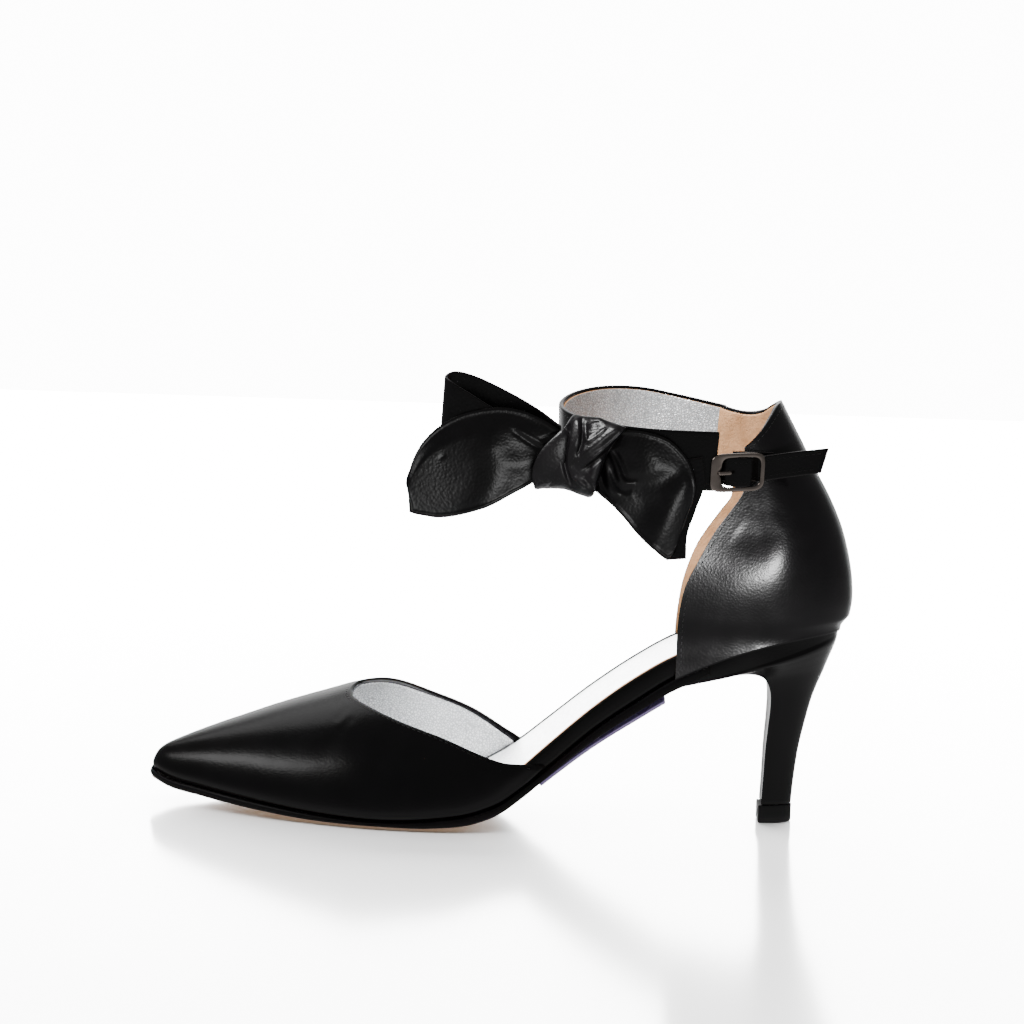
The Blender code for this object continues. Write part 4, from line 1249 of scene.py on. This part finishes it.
@dataclass
class Bow:
    """Tied bow: an open loop, three leaves and a folded knot with its wrap."""

    wall: float = 1.1
    pleat: float = 0.1
    pleats: float = 3.5
    pleat_fade: float = 0.16
    roll_share: float = 0.27
    roll_ends: Pair = (0.2, 0.15)
    lip: float = 0.3
    lip_in: float = 0.9
    lip_wide: float = 0.6
    loop_hub: Point = (-2.0, -17.6, 140.0)
    left_hub: Point = (-10.0, 60.0, 130.0)
    right_hub: Point = (55.0, 60.0, 120.0)
    back_hub: Point = (60.0, 60.0, 115.0)
    left_roll: float = 1.6
    right_roll: float = 0.8
    loop: Rows = Rows(EDGES, (
        (20.0, -19.6, 142.4, 20.0, -19.6, 129.0, 0.0), (12.6, -15.0, 147.2, 12.8, -14.6, 128.0, 0.0),
        (3.0, -13.6, 152.4, 2.6, -13.4, 127.4, 0.0), (-9.0, -12.8, 157.8, -10.0, -12.8, 128.4, 0.0),
        (-17.4, -13.8, 160.0, -18.6, -13.8, 130.0, 0.0), (-21.4, -17.4, 158.6, -22.8, -17.6, 131.0, 0.0),
        (-19.2, -20.8, 156.8, -20.6, -21.2, 130.4, 0.0), (-12.0, -21.8, 152.8, -13.0, -22.2, 128.6, 0.0),
        (-4.0, -22.0, 148.2, -4.4, -22.4, 127.4, 0.0), (6.0, -21.8, 143.6, 6.0, -22.0, 126.8, 0.0),
        (17.0, -23.4, 139.6, 16.0, -23.6, 127.8, 0.0)))
    left: Rows = Rows(EDGES, (
        (20.0, -25.4, 141.0, 13.4, -26.0, 124.4, 0.0), (13.8, -24.6, 144.6, 8.0, -25.4, 121.0, 0.24),
        (6.0, -24.6, 147.6, 3.4, -25.6, 118.4, 0.64), (-1.3, -24.6, 148.5, -4.0, -25.8, 114.2, 0.88),
        (-8.6, -24.6, 147.6, -11.0, -26.0, 111.6, 0.96), (-16.1, -24.8, 145.3, -17.0, -26.2, 110.0, 0.96),
        (-23.3, -25.2, 140.9, -22.4, -26.4, 109.4, 0.8), (-29.0, -25.8, 134.7, -26.6, -26.6, 109.9, 0.56),
        (-32.3, -26.4, 127.3, -30.2, -26.8, 110.5, 0.32), (-33.1, -26.8, 120.6, -32.3, -27.0, 111.2, 0.08)))
    right: Rows = Rows(EDGES, (
        (38.0, -29.0, 142.4, 30.6, -27.8, 122.0, 0.0), (43.4, -31.2, 142.8, 34.0, -29.6, 119.6, 0.1),
        (50.0, -32.1, 142.2, 38.4, -31.4, 116.2, 0.5), (57.4, -32.4, 139.7, 42.6, -32.1, 112.0, 0.9),
        (63.5, -32.4, 134.0, 46.8, -32.2, 107.2, 1.1), (66.6, -32.6, 127.5, 50.6, -32.5, 103.6, 1.1),
        (67.1, -32.6, 121.5, 53.8, -32.6, 101.0, 0.9), (64.8, -32.6, 113.5, 56.0, -32.6, 99.2, 0.6),
        (61.8, -32.6, 104.5, 57.6, -32.6, 98.1, 0.25), (60.0, -32.6, 99.9, 58.4, -32.6, 97.7, 0.0)))
    back: Rows = Rows(EDGES, (
        (69.4, -30.2, 134.0, 58.0, -30.2, 132.0, 0.0), (70.4, -30.3, 124.8, 58.0, -30.3, 122.0, 0.0),
        (67.6, -30.4, 115.4, 58.0, -30.4, 113.0, 0.0), (65.0, -30.6, 106.8, 59.4, -30.6, 104.6, 0.0),
        (64.8, -30.8, 98.2, 58.6, -30.8, 97.6, 0.0)))
    left_folds: tuple[Fold, ...] = (
        Fold(6.0, 1.3, ((-3.7, 133.8), (-2.2, 126.8), (-4.1, 118.5), (-6.5, 113.8)), 0.0),
        Fold(7.0, -0.35, ((-19.6, 138.0), (-19.2, 128.5)), 0.0),
        Fold(0.9, -0.5, ((2.6, 140.9), (8.5, 137.0), (13.3, 134.2))),
        Fold(0.8, -0.4, ((12.0, 137.4), (17.2, 139.6), (20.6, 140.9))),
        Fold(0.9, 0.3, ((4.3, 141.6), (10.8, 137.9), (14.9, 136.6))),
        Fold(0.7, -0.2, ((-22.3, 130.0), (-20.4, 131.7))),
        Fold(3.4, 0.5, ((9.9, 130.1), (6.5, 128.8), (4.1, 129.1)), 0.0))
    right_folds: tuple[Fold, ...] = (
        Fold(0.9, 0.8, ((36.4, 135.6), (39.1, 131.0), (40.8, 126.4), (42.8, 124.6), (46.0, 124.9))),
        Fold(1.3, -0.9, ((38.1, 135.6), (41.3, 129.9), (43.4, 126.1), (47.1, 126.2))),
        Fold(1.2, 0.6, ((35.0, 133.8), (36.1, 128.0), (38.3, 122.2), (41.0, 120.0))),
        Fold(1.0, -0.7, ((37.5, 129.2), (39.7, 124.0), (42.1, 121.6), (45.0, 122.4))),
        Fold(1.0, 0.5, ((32.7, 126.0), (34.0, 122.0), (35.8, 117.9))),
        Fold(1.0, -0.6, ((34.1, 126.6), (35.7, 122.0), (38.2, 118.0))),
        Fold(4.5, 1.2, ((63.6, 124.8), (60.1, 118.9), (56.4, 109.4), (53.0, 101.1), (51.0, 95.2)), 0.0),
        Fold(5.5, -0.7, ((49.7, 117.4), (44.8, 109.1)), 0.0),
        Fold(6.0, 0.7, ((45.4, 142.3), (49.1, 136.1), (51.0, 130.3)), 0.0),
        Fold(3.0, -0.6, ((44.4, 121.3), (52.4, 125.1), (62.7, 127.2))))
    knot: Rows = Rows("x y z half_deep half_tall", (
        (10.7, -25.6, 125.5, 0.9, 1.3), (11.4, -25.8, 125.9, 2.2, 4.5), (13.8, -26.2, 127.8, 3.6, 7.0),
        (17.8, -26.8, 129.6, 4.4, 8.7), (21.1, -27.4, 131.9, 5.0, 11.0), (23.9, -28.0, 133.7, 5.2, 13.4),
        (27.3, -28.8, 133.1, 5.2, 13.9), (31.1, -29.6, 132.8, 4.8, 14.0), (33.2, -30.2, 135.2, 4.2, 11.5),
        (35.5, -30.6, 139.2, 3.4, 6.6), (38.4, -31.0, 141.4, 2.6, 3.6), (41.0, -31.2, 142.8, 1.6, 1.4),
        (42.2, -31.2, 143.2, 0.6, 0.5)))
    knot_folds: tuple[Fold, ...] = (
        Fold(1.0, -1.3, ((22.1, 143.8), (21.8, 139.2), (21.2, 133.3), (22.2, 127.5), (24.7, 121.8))),
        Fold(2.4, 0.9, ((23.9, 145.9), (25.5, 144.2), (24.8, 139.8), (23.3, 135.7))),
        Fold(0.9, -1.2, ((26.9, 146.6), (27.3, 141.7), (26.9, 137.0), (25.6, 132.9))),
        Fold(0.6, 0.7, ((27.8, 145.2), (28.3, 140.3), (29.2, 138.9), (31.7, 140.6), (35.5, 143.7))),
        Fold(2.6, -0.7, ((30.5, 145.3), (31.2, 142.4))),
        Fold(1.6, 0.7, ((26.6, 133.2), (32.2, 138.0), (37.3, 142.3), (40.1, 143.9))),
        Fold(0.6, 0.6, ((27.9, 130.0), (33.5, 134.9), (38.0, 139.1), (41.6, 143.0))),
        Fold(0.9, -1.2, ((28.2, 128.6), (34.7, 134.0), (39.7, 139.2))),
        Fold(2.6, -1.0, ((23.8, 131.1), (27.3, 128.9), (30.8, 128.1))),
        Fold(0.9, 0.6, ((24.5, 125.9), (26.9, 123.9), (29.0, 122.2))),
        Fold(0.9, -0.6, ((28.0, 126.0), (30.7, 123.1), (32.6, 120.3))))
    wrap: Rows = Rows("x y z half_wide half_thick", (
        (21.5, -30.4, 142.0, 1.4, 0.4), (20.3, -31.2, 139.7, 2.2, 0.7), (17.8, -31.4, 134.4, 4.2, 0.9),
        (15.8, -30.6, 128.5, 5.3, 0.9), (16.0, -29.4, 124.2, 5.6, 0.8), (16.5, -27.6, 121.6, 5.2, 0.4)))

    def leaf(self, bench: Bench, name: str, rows: Rows, folds: Sequence[Fold], roll: float,
             inside: Sequence[float]) -> None:
        """One leaf: a bellied band with listed folds, pleated where it leaves the knot.

        Pleats are a cosine across the leaf that dies away along it. A lip runs inside the free edges.

        Args:
            bench: the maker's bench.
            name: the piece's name.
            rows: the leaf's two edges.
            folds: ridges and troughs.
            roll: how far the top edge leans back.
            inside: a point behind the leaf.
        """
        points = band(rows, along=110, across=90)
        run = np.linspace(0.0, 1.0, len(points))[:, None]
        share = np.linspace(0.0, 1.0, points.shape[1])
        points[..., 1] -= relief(points, folds)
        points[..., 1] += (roll * ease((self.roll_share - share) / self.roll_share)
                           * ease(run / self.roll_ends[0]) * ease((1 - run) / self.roll_ends[1]))
        wave = np.cos(2 * np.pi * self.pleats * share)
        points[..., 1] -= self.pleat * wave * np.exp(-run / self.pleat_fade)
        wide = np.linalg.norm(points[:, -1] - points[:, 0], axis=-1)[:, None]
        deep = np.linalg.norm(points[-1:] - points, axis=-1)
        inset = np.minimum(np.minimum(share, 1 - share) * wide, deep)
        points[..., 1] -= self.lip * np.exp(-((inset - self.lip_in) / self.lip_wide) ** 2)
        bench.wall(name, points, self.wall, inside, BOW_SKINS)

    def strand(self, bench: Bench, name: str, rows: Rows) -> None:
        """One strand: an oval carried along a path, wide across it in side view and thin toward -Y.

        Args:
            bench: the maker's bench.
            name: the piece's name.
            rows: the path and the oval's two half sizes.
        """
        at = rows.places(60)
        path = rows.xyz(at)
        ahead = np.gradient(path, axis=0)
        across = unit(np.stack([-ahead[:, 2], 0 * at, ahead[:, 0]], axis=-1))
        deep = unit(np.cross(unit(ahead), across))
        turn = circle(36)
        ring = (np.cos(turn)[None, :, None] * (rows.at(at, "half_wide")[:, None] * across)[:, None, :]
                + np.sin(turn)[None, :, None] * (rows.at(at, "half_thick")[:, None] * deep)[:, None, :])
        bench.solid(name, path[:, None, :] + ring, (BOW_NAPPA,))

    def build(self, bench: Bench) -> None:
        """Make the loop, the leaves, the knot and its wrap.

        Args:
            bench: the maker's bench.
        """
        loop = band(self.loop, along=200, across=50)
        bench.wall("bow_loop", loop, self.wall, self.loop_hub, BOW_SKINS, round_mm=0.3)
        self.leaf(bench, "bow_tail_left", self.left, self.left_folds, self.left_roll, self.left_hub)
        self.leaf(bench, "bow_tail_right", self.right, self.right_folds, self.right_roll, self.right_hub)
        back = band(self.back, along=60, across=30)
        bench.wall("bow_tail_back", back, self.wall, self.back_hub, BOW_SKINS, round_mm=0.3)
        turn = circle(160)
        read = self.knot.read(self.knot.places(150)[:, None])
        core = np.stack([read["x"] + 0 * turn, read["y"] + read["half_deep"] * np.sin(turn),
                         read["z"] + read["half_tall"] * np.cos(turn)], axis=-1)
        core[..., 1] -= relief(core, self.knot_folds) * ease(-2 * np.sin(turn))
        bench.solid("bow_knot", core, (BOW_NAPPA,))
        self.strand(bench, "bow_knot_wrap", self.wrap)


@dataclass(frozen=True)
class SoftBox:
    """Area light that faces a point.

    Places and sizes are in metres. Glow is the brightness of its face, against white at one. It lights
    only the pieces whose names start as given, or everything. Roll turns it about its own axis, in degrees.
    """

    name: str
    place: Point
    aim: Point
    size: Pair
    glow: float
    only: tuple[str, ...] = ()
    roll: float = 0.0

    def hang(self, things: Sequence[str]) -> None:
        """Hang the light and choose what it lights.

        Args:
            things: names of the shoe's pieces and of the table.
        """
        lamp = bpy.data.lights.new(self.name, "AREA")
        lamp.shape = "RECTANGLE"
        lamp.size, lamp.size_y = self.size
        lamp.energy = self.glow * np.pi * self.size[0] * self.size[1]
        light = bpy.data.objects.new(self.name, lamp)
        back = unit(np.array(self.place) - np.array(self.aim))
        level = np.array([0.0, 0.0, 1.0]) if abs(back[2]) < STEEP else np.array([0.0, 1.0, 0.0])
        right = unit(np.cross(level, back))
        up = np.cross(back, right)
        c, s = np.cos(np.radians(self.roll)), np.sin(np.radians(self.roll))
        light.matrix_world = stand(c * right + s * up, c * up - s * right, back, self.place)
        bpy.context.collection.objects.link(light)
        if self.only:
            group = bpy.data.collections.new(self.name)
            for thing in things:
                if thing.startswith(self.only):
                    group.objects.link(bpy.data.objects[thing])
            light.light_linking.receiver_collection = group


LININGS = ("sock", "vamp_lining", "quarter_lining", "strap_lining")
WHITE = ("sock", "table")


@dataclass
class Studio:
    """Camera at the photograph's angle, white table and soft boxes."""

    shift: Array
    focal_px: float = 3500.0
    image_px: float = 1024.0
    sensor: float = 36.0
    distance: float = 1250.0
    height_angle: float = float(np.radians(7.0))
    roll: float = float(np.radians(1.8))
    aim: Point = (3.6, 0.0, 109.0)
    drop: float = -0.0002
    table_x: Pair = (-1.6, 1.6)
    table_y: Pair = (-1.3, 1.6)
    room: float = 13.5
    low_way: float = -0.35
    low_glow: Pair = (0.38, 0.14)
    wall_way: Pair = (0.72, 0.96)
    wall_glow: float = 1.5
    boxes: tuple[SoftBox, ...] = (
        SoftBox("counter_box", (0.45, -1.6, 0.05), (0.09, 0.0, 0.09), (0.48, 0.20), 82.0,
                ("quarter", "waist_strip"), 21.0),
        SoftBox("bow_box", (0.50, -1.6, -0.02), (0.02, 0.0, 0.12), (0.64, 0.56), 5.6,
                ("bow_knot", "bow_tail_left", "bow_tail_right")),
        SoftBox("left_box", (-1.20, -0.45, 0.85), (-0.09, 0.0, 0.02), (0.90, 0.32), 3.7),
        SoftBox("top_box", (-0.5, -0.7, 1.2), (0.0, 0.0, 0.10), (0.8, 0.6), 26.0, ("bow_knot",)),
        SoftBox("back_box", (-0.3, 0.9, 1.3), (0.0, 0.0, 0.06), (1.4, 0.9), 0.9),
        SoftBox("lining_box", (-0.5, -0.7, 1.2), (0.05, 0.0, 0.08), (0.45, 0.40), 125.0, LININGS),
        SoftBox("table_box", (0.0, 0.2, 1.8), (0.0, 0.2, 0.0), (3.4, 3.0), 4.5, WHITE),
        SoftBox("wall_box", (0.0, 2.4, 0.9), (0.0, 0.0, 0.2), (4.0, 1.8), 30.0, WHITE))

    def camera(self) -> None:
        """Set the camera before the aim point, a little above it, rolled to the photograph's horizon.

        The lens follows from the focal length in pixels over the picture's width, times the sensor.
        """
        ahead = np.array([0.0, np.cos(self.height_angle), -np.sin(self.height_angle)])
        right = np.array([1.0, 0.0, 0.0])
        up = np.cross(right, ahead)
        side = np.cos(self.roll) * right + np.sin(self.roll) * up
        top = -np.sin(self.roll) * right + np.cos(self.roll) * up
        eye = (np.array(self.aim) + self.shift - self.distance * ahead) * MM
        lens = bpy.data.cameras.new("camera")
        lens.sensor_fit = "HORIZONTAL"
        lens.sensor_width = self.sensor
        lens.lens = self.sensor * self.focal_px / self.image_px
        lens.clip_end = 50.0
        eye_piece = bpy.data.objects.new("camera", lens)
        eye_piece.matrix_world = stand(side, top, -ahead, eye)
        bpy.context.collection.objects.link(eye_piece)
        bpy.context.scene.camera = eye_piece

    def table(self) -> Piece:
        """Flat white table top, left out of the shoe's reflections, which the surround gives instead.

        Returns:
            The table top.
        """
        (left, right), (front, back) = self.table_x, self.table_y
        corners = [(x, y, self.drop) for x, y in ((left, front), (right, front), (right, back), (left, back))]
        data = bpy.data.meshes.new("table")
        data.from_pydata(corners, [], [(0, 1, 2, 3)])
        data.materials.append(TABLE.material())
        top = bpy.data.objects.new("table", data)
        top.visible_diffuse = False
        top.visible_glossy = False
        top.visible_shadow = False
        bpy.context.collection.objects.link(top)
        return top

    def surround(self) -> None:
        """White room for the camera; in reflections dim above, paler toward table and back wall.

        The dim glow is a ramp over the ray's height plus a ramp over its way toward the back wall.
        """
        world = bpy.data.worlds.new("studio")
        bpy.context.scene.world = world
        world.use_nodes = True
        tree = world.node_tree
        glow = tree.nodes["Background"]
        glow.inputs["Color"].default_value = (1.0, 1.0, 1.0, 1.0)
        ray = add(tree, "ShaderNodeTexCoord").outputs["Generated"]
        way = add(tree, "ShaderNodeSeparateXYZ", None, {0: ray})
        low = add(tree, "ShaderNodeMapRange", None,
                  {"Value": way.outputs["Z"], "From Min": self.low_way, "From Max": 0.0,
                   "To Min": self.low_glow[0], "To Max": self.low_glow[1]})
        wall = add(tree, "ShaderNodeMapRange", None,
                   {"Value": way.outputs["Y"], "From Min": self.wall_way[0], "From Max": self.wall_way[1],
                    "To Max": self.wall_glow})
        dim = add(tree, "ShaderNodeMath", None, {0: low.outputs[0], 1: wall.outputs[0]})
        seen = add(tree, "ShaderNodeLightPath").outputs["Is Camera Ray"]
        strength = add(tree, "ShaderNodeMix", None, {0: seen, 2: dim.outputs[0], 3: self.room})
        tree.links.new(strength.outputs[0], glow.inputs["Strength"])

    def build(self, made: Sequence[str]) -> None:
        """Set up the picture.

        Args:
            made: names of the shoe's pieces.
        """
        self.camera()
        self.surround()
        things = [*made, self.table().name]
        for box in self.boxes:
            box.hang(things)


def main() -> None:
    """Dress the shoe piece by piece.

    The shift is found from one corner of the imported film, whose place in the tables is known.
    """
    logging.basicConfig(level=logging.INFO, format="%(message)s")
    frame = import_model()
    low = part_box("waist_strip")[0]
    last = Last()
    sole = Sole(last)
    shift = np.array([low[0] / MM - sole.film_x[0], low[1] / MM - sole.film_y[0], 0.0])
    bench = Bench(shift, frozenset(frame["nodes"]))
    for part in (sole, Vamp(last), Quarter(last), Heel(last), Strap(), Bow()):
        part.build(bench)
    Studio(shift).build(bench.made)
    bpy.context.view_layer.update()
    log.info("%d pieces", len(bench.made))


if __name__ == "__main__":
    main()
